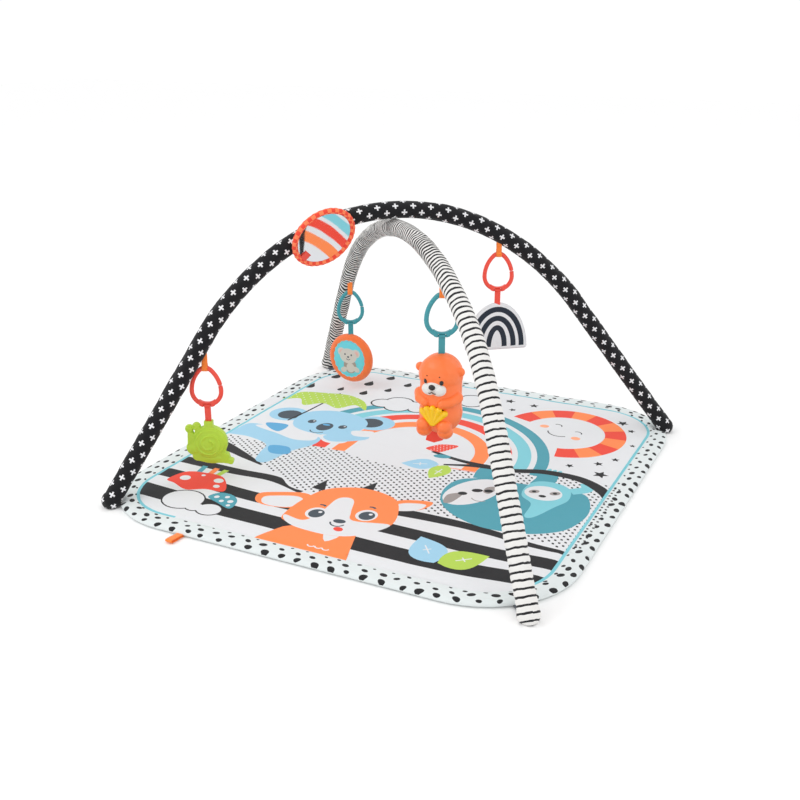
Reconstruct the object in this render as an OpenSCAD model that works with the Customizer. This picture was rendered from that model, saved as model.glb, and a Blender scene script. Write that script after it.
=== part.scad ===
// Activity play gym: a padded floor mat, two crossed soft arches, a mirror and four hanging toys.
// Millimetres, +Z up. The origin is the centre of the mat's underside, on the floor.
// +X runs to the right along the front edge and +Y runs to the back edge.

/* [Mat] */
// Width of the mat, left to right
mat_w = 760; // [700:5:820]
// Depth of the mat, front to back
mat_d = 800; // [740:5:860]
// Radius of the mat's corners
mat_corner_r = 150; // [140:5:170]
// Thickness of the padded mat
mat_t = 10; // [8:1:14]
// Thickness of the mat's cover fabric
cover_t = 1.2; // [0.8:0.1:1.6]

/* [Arches] */
// Outer radius of a padded arch
arch_r = 14.5; // [13:0.5:14.5]
// Height of the lower arch's centre line over its pivots
striped_h = 385; // [360:1:386]
// Height of the upper arch's centre line, measured in its own leaning plane
black_h = 421; // [421:1:430]
// Lean of the upper arch towards the back left, in degrees
black_lean = 12.8; // [12:0.2:13]
// Outer radius of the pole inside an arch
pole_r = 4.5; // [4:0.5:5]

/* [Link rings] */
// Overall height of a link ring
ring_h = 70; // [66:1:74]
// Radius of a ring's round wire
wire_r = 3.5; // [3:0.25:3.75]
// Centre-line radius of a ring's wide lower end
ring_low_r = 23.5; // [22:0.5:25]
// Centre-line radius of a ring's narrow upper end
ring_high_r = 12; // [11:0.5:13]

/* [Mirror] */
// Outer radius of the mirror's padded rim
mirror_r = 56; // [50:1:58]
// Turn of the mirror round the arch, from facing sideways to facing down
mirror_turn = 42; // [25:0.5:45]

/* [Hanging toys] */
// Height of the musical animal's body
animal_h = 127; // [120:1:130]
// Radius of the musical animal's body
animal_r = 33.5; // [32:0.5:34]
// Radius of the plush disc
disc_r = 50; // [42:1:51]
// Half the width of the half-round crinkle toy at its straight edge
crinkle_w = 57; // [50:1:58]
// Height of the half-round crinkle toy
crinkle_h = 86; // [80:1:88]
// Radius of the snail's shell
snail_r = 29; // [27:1:30]

/* [Hidden] */
$fn = 48;
gap = 0.3;
wall = 2.2;

// An arch: its two pivots, height, lean, crown radius, and the slopes where crown and flank end
pivot_z = 10;
BLACK = [[-344, -365], [362, 327], black_h, black_lean, 366, 30, 55];
STRIPED = [[352, -388], [-377, 375], striped_h, -1.5, 540, 28, 55];
joint_bulge = 0.2;
trim = 0.1;

// Where things hang, as a distance along the arch's chord from its crown
SNAIL_U = -342;
CRINKLE_U = 193;
ANIMAL_U = -170;
DISC_U = 368;
MIRROR_U = -130;
ring_azimuth = 26;
loop_drop = 14;
loop_w = 10;
webbing_t = 1.2;
strap_w = 10;
strap_t = 1.3;
bar_r = 1.8;
short_strap = 26;
long_strap = 32;

// ---------- Arch geometry ----------
// An arch lies in a plane through its two pivots. In that plane u runs along the chord from the
// middle and w runs up. Half an arch is half the crown arc, a flank arc and a straight leg. The
// flank radius and the leg length are solved from the span and the height.

function half_span(arch) = norm(arch[1] - arch[0]) / 2;
function chord_angle(arch) = atan2(arch[1].y - arch[0].y, arch[1].x - arch[0].x);
function crown_r(arch) = arch[4];
function crown_angle(arch) = arch[5];
function leg_angle(arch) = arch[6];
function out_of(t) = [sin(t), cos(t)];
function along(t) = [cos(t), -sin(t)];
function remaining(arch) =
    [half_span(arch), -arch[2]] - crown_r(arch) * (out_of(crown_angle(arch)) - [0, 1]);
function cross2(p, q) = p.x * q.y - p.y * q.x;
function flank_run(arch) = out_of(leg_angle(arch)) - out_of(crown_angle(arch));
function flank_r(arch) =
    cross2(remaining(arch), along(leg_angle(arch))) / cross2(flank_run(arch), along(leg_angle(arch)));
function leg_len(arch) =
    cross2(flank_run(arch), remaining(arch)) / cross2(flank_run(arch), along(leg_angle(arch)));

// Ends of the crown arc and the flank arc
function end1(arch) = [0, arch[2]] + crown_r(arch) * (out_of(crown_angle(arch)) - [0, 1]);
function end2(arch) = end1(arch) + flank_r(arch) * flank_run(arch);

// Slope of the centre line at a chord position, and its height there
function slope_at(arch, u) =
    abs(u) <= end1(arch).x ? asin(abs(u) / crown_r(arch))
    : abs(u) <= end2(arch).x
        ? asin((abs(u) - end1(arch).x) / flank_r(arch) + sin(crown_angle(arch)))
        : leg_angle(arch);
function height_at(arch, u) =
    abs(u) <= end1(arch).x ? arch[2] - crown_r(arch) * (1 - cos(slope_at(arch, u)))
    : abs(u) <= end2(arch).x
        ? end1(arch).y - flank_r(arch) * (cos(crown_angle(arch)) - cos(slope_at(arch, u)))
        : end2(arch).y - (abs(u) - end2(arch).x) * tan(leg_angle(arch));

// A point of the arch's plane in the part's frame
function in_world(arch, u, w) =
    let (a = chord_angle(arch), mid = (arch[0] + arch[1]) / 2, side = w * sin(arch[3]))
    [mid.x + u * cos(a) - side * sin(a), mid.y + u * sin(a) + side * cos(a), pivot_z + w * cos(arch[3])];
// Where a webbing loop leaves the underside of an arch
function hang_point(arch, u) =
    let (t = slope_at(arch, u), s = sign(u))
    in_world(arch, u - s * arch_r * sin(t), height_at(arch, u) - arch_r * cos(t));

// Takes plane geometry, drawn with x = u and y = w, into the part's frame
module in_arch_plane(arch) {
    mid = (arch[0] + arch[1]) / 2;
    translate([mid.x, mid.y, pivot_z])
        rotate([0, 0, chord_angle(arch)])
            rotate([-arch[3], 0, 0])
                rotate([90, 0, 0])
                    children();
}

// A round rod bent to a radius, from one slope to another
module bent_rod(r, start_point, bend_r, from_t, to_t) {
    translate(start_point - bend_r * out_of(from_t))
        rotate_extrude(angle = to_t - from_t, start = 90 - to_t)
            translate([bend_r, 0])
                circle(r);
}

module straight_rod(r, start_point, length, t) {
    translate(start_point)
        rotate([0, 0, 90 - t])
            rotate([90, 0, 0])
                cylinder(r = r, h = length);
}

// A round rod along the whole arch, past its pivots. Its lengths stop just short of each other
// inside a ball that joins them, because tangent surfaces that meet edge to edge don't fuse.
module arch_rod(arch, r, past_foot = 0) {
    c = crown_angle(arch);
    t = leg_angle(arch);
    skip = trim / flank_r(arch) * 180 / PI;
    flank_start = end1(arch) + flank_r(arch) * (out_of(c + skip) - out_of(c));
    bent_rod(r, end1(arch), crown_r(arch), c, -c);
    for (side = [0, 1])
        mirror([side, 0, 0]) {
            translate(end1(arch)) sphere(r + joint_bulge);
            bent_rod(r, flank_start, flank_r(arch), c + skip, t - skip);
            translate(end2(arch)) sphere(r + joint_bulge);
            straight_rod(r, end2(arch) + trim * along(t), leg_len(arch) + past_foot, t);
        }
}

// A tube along an arch, cut off level at a height over the pivots
module arch_tube(arch, inner_r, outer_r, cut_w) {
    big = 2000;
    difference() {
        arch_rod(arch, outer_r, 30);
        arch_rod(arch, inner_r, 40);
        translate([-big / 2, cut_w - big, -big / 2]) cube(big);
    }
}

module ring_section(inner_r, outer_r) {
    difference() {
        circle(outer_r);
        circle(inner_r);
    }
}

// ---------- Arch pieces ----------
spigot_r = 2.9;
pole_bore_r = 3;
pole_end_w = 12;
foam_end_w = 8;
sleeve_end_w = -4;
joiner_angle = 4;

// The half of an arch's tube that lies on one side of its crown
module one_side(side) {
    mirror([side < 0 ? 1 : 0, 0, 0])
        difference() {
            children();
            translate([-1000, -100, -50]) cube([1000, 1000, 100]);
        }
}

module pole(arch, side) {
    color("gainsboro")
        in_arch_plane(arch) one_side(side) arch_tube(arch, pole_bore_r, pole_r, pole_end_w);
}

// Rod that joins the two pole halves at the crown
module pole_joiner(arch) {
    start = [0, arch[2]] + crown_r(arch) * (out_of(joiner_angle) - [0, 1]);
    color("silver")
        in_arch_plane(arch)
            bent_rod(spigot_r, start, crown_r(arch), joiner_angle, -joiner_angle);
}

// Half a foam tube, which meets its twin at the crown
module foam(arch, side) {
    color("lightgray")
        in_arch_plane(arch) one_side(side) arch_tube(arch, pole_r + 0.1, arch_r - 1.4, foam_end_w);
}

module sleeve(arch, shade) {
    color(shade)
        in_arch_plane(arch) arch_tube(arch, arch_r - 1.1, arch_r, sleeve_end_w);
}

// Ball-ended plug under each end of the pole
ball_r = 6;
neck_r = 3;
flange_t = 2;
spigot_l = 14;

module foot_plug(arch) {
    t = leg_angle(arch);
    foot = [half_span(arch), 0];
    flange_at = pole_end_w / sin(t) - pole_r / tan(t) - flange_t;
    translate(foot) sphere(ball_r);
    straight_rod(neck_r, foot - (flange_at + 1) * along(t), flange_at, t);
    straight_rod(pole_r, foot - (flange_at + flange_t) * along(t), flange_t, t);
    straight_rod(spigot_r, foot - (flange_at + flange_t + spigot_l) * along(t), spigot_l + 1, t);
}

module foot_plugs(arch) {
    color("dimgray")
        in_arch_plane(arch)
            for (side = [0, 1])
                mirror([side, 0, 0])
                    foot_plug(arch);
}

// ---------- Mat ----------
module rounded_sheet(w, d, r, t) {
    linear_extrude(t) {
        square([w - 2 * r, d], center = true);
        square([w, d - 2 * r], center = true);
        for (x = [-1, 1], y = [-1, 1])
            translate([x * (w / 2 - r), y * (d / 2 - r)]) circle(r, $fn = 96);
    }
}

// The corners are scalloped where the arches' sleeves come down over them
module mat_sheet(inset, t) {
    difference() {
        rounded_sheet(mat_w - 2 * inset, mat_d - 2 * inset, mat_corner_r - inset, t);
        for (foot = FEET)
            translate([foot.x, foot.y, -1]) cylinder(r = scallop_r + inset, h = t + 2);
    }
}

module mat_bottom_cover() {
    color("white") mat_sheet(cover_t, cover_t);
}

module mat_filling() {
    color("whitesmoke")
        difference() {
            translate([0, 0, cover_t]) mat_sheet(cover_t, mat_t - 2 * cover_t);
            tongues(0);
        }
}

module mat_top_cover() {
    color("mintcream")
        difference() {
            mat_sheet(0, mat_t);
            translate([0, 0, -1]) mat_sheet(cover_t, mat_t - cover_t + 1);
            tongues(0);
        }
}

// Folded ribbon tab on the front edge
module mat_ribbon_tab() {
    tab_w = 12;
    tab_l = 28;
    color("darkorange")
        translate([-186, -mat_d / 2, mat_t / 2])
            rotate([90, 0, 0])
                translate([-tab_w / 2, -1.2, 0]) cube([tab_w, 2.4, tab_l]);
}

// Corner sockets: a cup for the plug's ball on a flat tongue that is sewn between the covers
FEET = [BLACK[0], STRIPED[0], STRIPED[1], BLACK[1]];
cup_r = 9.5;
cup_h = 13;
tongue_w = 12;
tongue_l = 60;
tongue_t = 2;
scallop_r = 19.5;

module tongue(foot, grow) {
    translate([foot.x, foot.y, cover_t])
        rotate([0, 0, atan2(-foot.y, -foot.x)])
            translate([0, -tongue_w / 2 - grow, 0])
                cube([tongue_l, tongue_w + 2 * grow, tongue_t + grow]);
}

module tongues(grow) {
    for (foot = FEET) tongue(foot, grow);
}

module corner_socket(foot) {
    color("slategray")
        difference() {
            union() {
                translate([foot.x, foot.y, 0]) cylinder(r = cup_r, h = cup_h);
                tongue(foot, 0);
            }
            translate([foot.x, foot.y, pivot_z]) sphere(ball_r + gap);
            translate([foot.x, foot.y, pivot_z + 1.5]) cylinder(r1 = 5.6, r2 = 8.6, h = 3);
        }
}

// ---------- Webbing loops, link rings and straps ----------
// These stand in a frame at the point where the loop leaves the arch: x along the ring's face,
// y away from the viewer of that face and z up.
module hang_frame(arch, u, azimuth = ring_azimuth) {
    translate(hang_point(arch, u))
        rotate([0, 0, azimuth])
            children();
}

wire_z = -loop_drop - wire_r;
eye_low = wire_r + 2.3;
eye_r = wire_r + 0.4;

// Section of a loop: an eye for the ring's wire under two layers of webbing
module loop_section() {
    outer = eye_r + webbing_t;
    low = wire_z - eye_low + eye_r;
    high = wire_z + 2;
    difference() {
        union() {
            translate([0, low]) circle(outer);
            translate([0, high]) circle(outer);
            translate([-outer, low]) square([2 * outer, high - low]);
            translate([-webbing_t, high]) square([2 * webbing_t, 8 - high]);
        }
        translate([0, low]) circle(eye_r);
        translate([0, high]) circle(eye_r);
        translate([-eye_r, low]) square([2 * eye_r, high - low]);
    }
}

module webbing_loop(arch, u) {
    s = sign(u);
    t = slope_at(arch, u);
    color("darkorange")
        difference() {
            hang_frame(arch, u)
                rotate([90, 0, 90])
                    translate([0, 0, -loop_w / 2])
                        linear_extrude(loop_w) loop_section();
            in_arch_plane(arch)
                translate([u, height_at(arch, u), 0])
                    rotate([0, 0, -s * t])
                        rotate([0, 90, 0])
                            translate([0, 0, -60]) cylinder(r = arch_r + 0.1, h = 120);
        }
}

// Egg-shaped ring centre line: a wide low arc, a narrow high arc and two flank arcs
ring_rise = ring_h - ring_low_r - ring_high_r - 2 * wire_r;
narrowing = ring_low_r - ring_high_r;
flank_offset = (pow(ring_rise, 2) - pow(narrowing, 2)) / (2 * narrowing);
ring_flank_r = ring_low_r + flank_offset;
ring_flank_angle = atan2(ring_rise, flank_offset);
ring_z = wire_z - ring_high_r - ring_rise;
bar_z = -ring_low_r - 1.1;
split_w = 1.6;
slot_half = 6.5;

module wire_arc(r, from, to) {
    skip = trim / r * 180 / PI;
    rotate_extrude(angle = to - from - 2 * skip, start = from + skip)
        translate([r, 0])
            circle(wire_r);
}

// The wide end carries a slot with a round bar, which the strap hangs from
module ring_slot_end() {
    half = slot_half + 6;
    difference() {
        translate([0, 0, -wire_r - joint_bulge])
            linear_extrude(2 * (wire_r + joint_bulge))
                intersection() {
                    ring_section(ring_low_r - 4.6, ring_low_r + wire_r + joint_bulge);
                    translate([-half, -40]) square([2 * half, 30]);
                }
        translate([-slot_half, -40, -10]) cube([2 * slot_half, 40 - ring_low_r + 2.7, 20]);
    }
    translate([-slot_half - 1, bar_z, 0]) rotate([0, 90, 0]) cylinder(r = bar_r, h = 2 * slot_half + 2);
}

// Half of the ring's wire, on the +x side, with a ball where two arcs meet
module half_wire() {
    wire_arc(ring_low_r, 300, 360);
    translate([ring_low_r, 0, 0]) sphere(wire_r + joint_bulge);
    translate([-flank_offset, 0, 0]) {
        wire_arc(ring_flank_r, 0, ring_flank_angle);
        rotate([0, 0, ring_flank_angle]) translate([ring_flank_r, 0, 0]) sphere(wire_r + joint_bulge);
    }
}

module link_ring(arch, u, shade) {
    color(shade)
        hang_frame(arch, u)
            translate([0, 0, ring_z])
                rotate([90, 0, 0])
                    difference() {
                        union() {
                            half_wire();
                            mirror([1, 0, 0]) half_wire();
                            translate([0, ring_rise, 0])
                                wire_arc(ring_high_r, ring_flank_angle, 180 - ring_flank_angle);
                            ring_slot_end();
                        }
                        translate([-flank_offset, 0, 0])
                            rotate([0, 0, 10])
                                translate([ring_flank_r - 6, 0, -6])
                                    cube([12, split_w, 12]);
                    }
}

// Flat strap: an eye round the ring's bar over a doubled tail
strap_eye_z = ring_z + bar_z;
module strap_section(tail) {
    outer = bar_r + gap + strap_t;
    difference() {
        union() {
            translate([0, strap_eye_z]) circle(outer);
            translate([-strap_t, strap_eye_z - tail]) square([2 * strap_t, tail]);
        }
        translate([0, strap_eye_z]) circle(bar_r + gap);
    }
}

module strap(arch, u, tail, shade) {
    color(shade)
        hang_frame(arch, u)
            rotate([90, 0, 90])
                translate([0, 0, -strap_w / 2])
                    linear_extrude(strap_w) strap_section(tail);
}

// Room for a strap's tail inside the toy that it carries
module strap_room(tail) {
    rotate([90, 0, 90])
        translate([-strap_t, strap_eye_z - tail, -strap_w / 2])
            cube([2 * strap_t, tail, strap_w]);
}

// Frame at the top of a toy, turned to the way the toy faces
module toy_frame(arch, u, tail, sink, azimuth) {
    difference() {
        hang_frame(arch, u, azimuth)
            translate([0, 0, strap_eye_z - tail + sink])
                children();
        hang_frame(arch, u) strap_room(tail);
    }
}

// ---------- Snail teether ----------
snail_t = 12;
snail_sink = 6;

// Outline with the shell's middle at the origin
module snail_outline() {
    circle(snail_r);
    translate([-27, -8]) circle(11);
    translate([-20, -22]) circle(9);
    translate([0, -24]) circle(11);
    translate([20, -27]) circle(8);
    translate([33, -33]) circle(4.5);
    polygon([[-28, -18], [-20, -31], [0, -35], [20, -35], [34, -37], [30, -20], [0, -5]]);
    for (stalk = [[-32, 24], [-20, 28]])
        translate(stalk) circle(5.5);
    polygon([[-36, -4], [-34, 24], [-30, 24], [-30, 5], [-24, 8], [-22, 28], [-18, 28],
             [-12, 14], [-20, -8]]);
    translate([-7, snail_r - 6]) square([14, 15]);
}

module snail_teether() {
    color("yellowgreen")
        toy_frame(BLACK, SNAIL_U, long_strap, snail_sink, ring_azimuth)
            translate([0, 0, -snail_r - 9]) {
                rotate([90, 0, 0]) linear_extrude(snail_t, center = true) snail_outline();
                rotate([90, 0, 0]) cylinder(r = snail_r - 5, h = snail_t + 5, center = true);
                rotate([90, 0, 0]) cylinder(r = snail_r - 14, h = snail_t + 9, center = true);
            }
}

// ---------- Half-round crinkle toy ----------
crinkle_t = 8;
crinkle_sink = 4;
crinkle_azimuth = 38;
crinkle_corner = 4;

// Half an oval over a straight edge, drawn in by inset, with its bottom corners cut off
module crinkle_outline(inset) {
    w = crinkle_w - inset;
    h = crinkle_h - 2 * inset;
    dome = [for (t = [4:4:176]) [w * cos(t), inset + h * sin(t)]];
    polygon(concat([[w - crinkle_corner, inset]], dome, [[crinkle_corner - w, inset]]));
}

// A layer of the toy between two depths
module crinkle_layer(inset, from_y, to_y) {
    toy_frame(BLACK, CRINKLE_U, short_strap, crinkle_sink, crinkle_azimuth)
        translate([0, to_y, -crinkle_h])
            rotate([90, 0, 0])
                linear_extrude(to_y - from_y) crinkle_outline(inset);
}

module crinkle_front() {
    color("white") crinkle_layer(0, -crinkle_t / 2, -1);
}

module crinkle_film() {
    color("silver") crinkle_layer(3, -1, 1);
}

module crinkle_back() {
    color("darkslategray") crinkle_layer(0, 1, crinkle_t / 2);
}

// ---------- Plush disc ----------
disc_t = 20;
disc_sink = 4;
disc_azimuth = -4;
disc_shell = 1.2;

// Puck with round edges, its middle at the origin and its faces square to y
module puck(inset) {
    edge = disc_t / 2;
    rotate([90, 0, 0])
        rotate_extrude($fn = 96) {
            translate([disc_r - edge, 0]) circle(edge - inset);
            translate([0, -edge + inset]) square([disc_r - edge, 2 * (edge - inset)]);
        }
}

module disc_half(side) {
    toy_frame(STRIPED, DISC_U, short_strap, disc_sink, disc_azimuth)
        translate([0, 0, -disc_r])
            difference() {
                puck(0);
                puck(disc_shell);
                translate([-100, side < 0 ? 0 : -200, -100]) cube(200);
            }
}

module disc_front_cover() {
    color("coral") disc_half(-1);
}

module disc_back_cover() {
    color("coral") disc_half(1);
}

module disc_filling() {
    color("white")
        toy_frame(STRIPED, DISC_U, short_strap, disc_sink, disc_azimuth)
            translate([0, 0, -disc_r]) puck(disc_shell);
}

module disc_window() {
    window_r = 35;
    color("skyblue")
        toy_frame(STRIPED, DISC_U, short_strap, disc_sink, disc_azimuth)
            translate([0, -disc_t / 2, -disc_r])
                rotate([90, 0, 0]) cylinder(r = window_r, h = 0.8);
}

// ---------- Musical animal ----------
animal_sink = 5;
animal_azimuth = 2;
button_size = [34, 30];
button_z = -88;
screw_at = [[-20, -46], [20, -46], [0, -116]];
screw_r = 1.4;
post_r = 3.2;
door_size = [34, 30];
door_z = -82;
cell_r = 5.8;
cell_t = 5.4;
switch_z = -56;

module animal_frame() {
    toy_frame(STRIPED, ANIMAL_U, long_strap, animal_sink, animal_azimuth)
        children();
}

// Solid of revolution: a round head on a round body, with the top at the origin
module animal_solid(inset) {
    low = -animal_h + animal_r;
    rotate_extrude()
        intersection() {
            union() {
                translate([0, -animal_r]) circle(animal_r - inset);
                translate([0, low]) circle(animal_r - inset);
                translate([0, low]) square([animal_r - 1.5 - inset, -low - animal_r]);
            }
            translate([0, -2 * animal_h]) square([100, 3 * animal_h]);
        }
}

module front_half() {
    intersection() {
        children();
        translate([-100, -200, -200]) cube([200, 200, 300]);
    }
}

module back_half() {
    intersection() {
        children();
        translate([-100, 0, -200]) cube([200, 200, 300]);
    }
}

module button_outline(grow) {
    r = button_size.x / 2 + grow;
    intersection() {
        translate([0, -button_size.y / 2 - grow]) circle(button_size.y + 2 * grow - 3);
        polygon([[0, -r - 4], [-r - 9, r + 6], [r + 9, r + 6]]);
    }
}

// The shell-shaped opening, bored through the belly
module button_opening(grow) {
    translate([0, -10, button_z])
        rotate([90, 0, 0])
            linear_extrude(60) button_outline(grow);
}

module animal_front_shell() {
    color("coral")
        animal_frame()
            difference() {
                union() {
                    difference() {
                        front_half() {
                            animal_solid(0);
                            for (s = [-1, 1]) {
                                translate([s * (animal_r - 1), -5, -22]) sphere(5.5);
                                translate([s * 17, -animal_r + 5, -animal_h + 20]) sphere(11);
                            }
                        }
                        animal_solid(wall);
                    }
                    intersection() {
                        for (p = screw_at)
                            translate([p.x, -0.5, p.y]) rotate([90, 0, 0]) cylinder(r = post_r, h = 60);
                        animal_solid(wall / 2);
                    }
                }
                for (p = screw_at)
                    translate([p.x, 1, p.y]) rotate([90, 0, 0]) cylinder(r = screw_r, h = 11);
                button_opening(0.4);
                muzzle_seat();
            }
}

module muzzle_seat() {
    translate([0, -animal_r - 1.2, -40])
        rotate([90, 0, 0]) cylinder(r = 12, h = 20, center = true);
}

// Screw counterbores, battery bay and switch slot open through the back
module animal_back_shell() {
    color("coral")
        animal_frame()
            difference() {
                union() {
                    back_half()
                        difference() {
                            animal_solid(0);
                            animal_solid(wall);
                        }
                    intersection() {
                        for (p = screw_at)
                            translate([p.x, 60, p.y]) rotate([90, 0, 0]) cylinder(r = post_r + 1, h = 60);
                        animal_solid(wall / 2);
                    }
                }
                for (p = screw_at) {
                    translate([p.x, 60, p.y]) rotate([90, 0, 0]) cylinder(r = screw_r + 0.2, h = 61);
                    translate([p.x, 70, p.y]) rotate([90, 0, 0]) cylinder(r = 2.8, h = 58);
                }
                translate([-door_size.x / 2, 10, door_z - door_size.y / 2])
                    cube([door_size.x, 40, door_size.y]);
                translate([-4, 10, switch_z - 6]) cube([8, 40, 12]);
            }
}

module animal_battery_door() {
    color("darkorange")
        animal_frame()
            intersection() {
                difference() {
                    animal_solid(0);
                    animal_solid(wall);
                }
                translate([-door_size.x / 2 + gap, 10, door_z - door_size.y / 2 + gap])
                    cube([door_size.x - 2 * gap, 40, door_size.y - 2 * gap]);
            }
}

// Sliding power switch: a cap outside the slot on a stem
module animal_switch() {
    depth = animal_r - 1.5;
    color("dimgray")
        animal_frame() {
            translate([-3, depth - 6, switch_z - 5]) cube([6, 8.5, 5]);
            translate([-5.5, depth - 7.4, switch_z - 6]) cube([11, 1.4, 7]);
        }
}

module animal_muzzle() {
    color("white")
        animal_frame()
            difference() {
                translate([0, -animal_r + 11, -40]) sphere(16);
                translate([0, -animal_r + 12, -40])
                    rotate([-90, 0, 0]) cylinder(r = 40, h = 40);
                muzzle_ring();
            }
}

// What is outside the muzzle's round seat or behind the wall is cut away
module muzzle_ring() {
    translate([0, 0, -40])
        rotate([90, 0, 0])
            difference() {
                cylinder(r = 60, h = 80);
                translate([0, 0, -1]) cylinder(r = 11.8, h = 90);
            }
    translate([-50, -animal_r + 6, -90]) cube([100, 60, 100]);
}

module animal_button() {
    color("gold")
        animal_frame() {
            translate([0, -animal_r + 6, button_z])
                rotate([90, 0, 0]) linear_extrude(10) button_outline(0);
            translate([0, -animal_r + 6, button_z])
                rotate([-90, 0, 0]) cylinder(r = 3, h = 4);
        }
}

spring_front = -animal_r + 10;
spring_back = -animal_r + 19;

// Coil spring between the button and the circuit board, as stacked turns
module animal_button_spring() {
    turns = 5;
    pitch = (spring_back - spring_front - 1) / (turns - 1);
    color("silver")
        animal_frame()
            for (i = [0:turns - 1])
                translate([0, spring_front + 0.5 + i * pitch, button_z])
                    rotate([90, 0, 0])
                        rotate_extrude()
                            translate([4.2, 0]) circle(0.5);
}

module animal_circuit_board() {
    color("green")
        animal_frame()
            translate([-19, spring_back, button_z - 16]) cube([38, 1.6, 42]);
}

module animal_speaker() {
    color("black")
        animal_frame()
            translate([0, spring_back + 1.8, -26]) {
                rotate([-90, 0, 0]) cylinder(r = 13, h = 5);
                rotate([-90, 0, 0]) cylinder(r = 7, h = 9);
            }
}

module animal_cells() {
    color("silver")
        animal_frame()
            for (i = [-1, 1], k = [0, 1])
                translate([i * 7, 8 + k * (cell_t + gap), door_z])
                    rotate([-90, 0, 0]) cylinder(r = cell_r, h = cell_t);
}

module animal_screws() {
    color("silver")
        animal_frame()
            for (p = screw_at) {
                translate([p.x, 12, p.y]) rotate([90, 0, 0]) cylinder(r = screw_r - 0.1, h = 20);
                translate([p.x, 13.8, p.y]) rotate([90, 0, 0]) cylinder(r = 2.5, h = 1.8);
            }
}

module animal_tail() {
    color("tomato")
        animal_frame()
            difference() {
                translate([-8, 0, -animal_h + 3])
                    rotate([90, 0, 0])
                        linear_extrude(4, center = true)
                            polygon([[-11, 0], [-16, -21], [-2, -23], [12, -17], [20, -8], [24, 0]]);
                animal_solid(-0.1);
            }
}

// ---------- Mirror ----------
// Frame on the upper arch's centre line: x along the tube, z along the mirror's face normal
mirror_back_z = arch_r + 4;
strap_wide = 24;

module mirror_frame() {
    t = slope_at(BLACK, MIRROR_U);
    in_arch_plane(BLACK)
        translate([MIRROR_U, height_at(BLACK, MIRROR_U), 0])
            rotate([0, 0, t])
                rotate([mirror_turn, 0, 0])
                    children();
}

// A band round the arch's sleeve with a seam pad under the mirror
module mirror_strap() {
    color("black")
        mirror_frame()
            rotate([0, 90, 0])
                translate([0, 0, -strap_wide / 2])
                    linear_extrude(strap_wide)
                        difference() {
                            union() {
                                circle(arch_r + gap + 1.4);
                                translate([-mirror_back_z, -8]) square([8, 16]);
                            }
                            circle(arch_r + gap);
                        }
}

module mirror_back_cover() {
    color("orangered")
        mirror_frame()
            translate([0, 0, mirror_back_z]) cylinder(r = mirror_r - 7, h = 4, $fn = 96);
}

module mirror_rim() {
    rim_r = 4.5;
    color("tomato")
        mirror_frame()
            translate([0, 0, mirror_back_z + 4])
                rotate_extrude($fn = 96)
                    translate([mirror_r - rim_r, 0]) {
                        circle(rim_r);
                        translate([-3.5, -1]) square([3, 3.5]);
                    }
}

module mirror_disc() {
    color("silver")
        mirror_frame()
            translate([0, 0, mirror_back_z + 4]) cylinder(r = mirror_r - 9.2, h = 1.5, $fn = 96);
}

// Plain ribbon tab that lies over the mirror's lower edge
module mirror_ribbon_tab() {
    color("red")
        mirror_frame()
            rotate([0, 0, 205])
                translate([mirror_r - 22, -6, mirror_back_z + 5.6]) cube([11, 12, 1.2]);
}

mat_bottom_cover();
mat_filling();
mat_top_cover();
mat_ribbon_tab();
corner_socket(BLACK[0]);  // corner_socket_front_left
corner_socket(STRIPED[0]);  // corner_socket_front_right
corner_socket(STRIPED[1]);  // corner_socket_back_left
corner_socket(BLACK[1]);  // corner_socket_back_right
pole(BLACK, -1);  // black_pole_front
pole(BLACK, 1);  // black_pole_back
pole_joiner(BLACK);  // black_pole_joiner
foam(BLACK, -1);  // black_foam_front
foam(BLACK, 1);  // black_foam_back
sleeve(BLACK, "#222224");  // black_sleeve
foot_plugs(BLACK);  // black_foot_plugs
pole(STRIPED, -1);  // striped_pole_front
pole(STRIPED, 1);  // striped_pole_back
pole_joiner(STRIPED);  // striped_pole_joiner
foam(STRIPED, -1);  // striped_foam_front
foam(STRIPED, 1);  // striped_foam_back
sleeve(STRIPED, "gainsboro");  // striped_sleeve
foot_plugs(STRIPED);  // striped_foot_plugs
webbing_loop(BLACK, SNAIL_U);  // loop_snail
webbing_loop(BLACK, CRINKLE_U);  // loop_crinkle
webbing_loop(STRIPED, ANIMAL_U);  // loop_animal
webbing_loop(STRIPED, DISC_U);  // loop_disc
link_ring(BLACK, SNAIL_U, "tomato");  // ring_snail
link_ring(BLACK, CRINKLE_U, "tomato");  // ring_crinkle
link_ring(STRIPED, ANIMAL_U, "cadetblue");  // ring_animal
link_ring(STRIPED, DISC_U, "cadetblue");  // ring_disc
strap(BLACK, SNAIL_U, long_strap, "tomato");  // strap_snail
strap(BLACK, CRINKLE_U, short_strap, "tomato");  // strap_crinkle
strap(STRIPED, ANIMAL_U, long_strap, "cadetblue");  // strap_animal
strap(STRIPED, DISC_U, short_strap, "cadetblue");  // strap_disc
snail_teether();
crinkle_front();
crinkle_film();
crinkle_back();
disc_front_cover();
disc_back_cover();
disc_filling();
disc_window();
animal_front_shell();
animal_back_shell();
animal_muzzle();
animal_tail();
animal_button();
animal_button_spring();
animal_speaker();
animal_circuit_board();
animal_cells();
animal_battery_door();
animal_switch();
animal_screws();
mirror_strap();
mirror_back_cover();
mirror_rim();
mirror_disc();
mirror_ribbon_tab();
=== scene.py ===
"""Looks of the activity play gym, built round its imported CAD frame. Metres, +Z up."""

import math
import random

import bmesh
import bpy
import numpy as np
from mathutils import Euler, Matrix, Vector, geometry, noise


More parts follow.
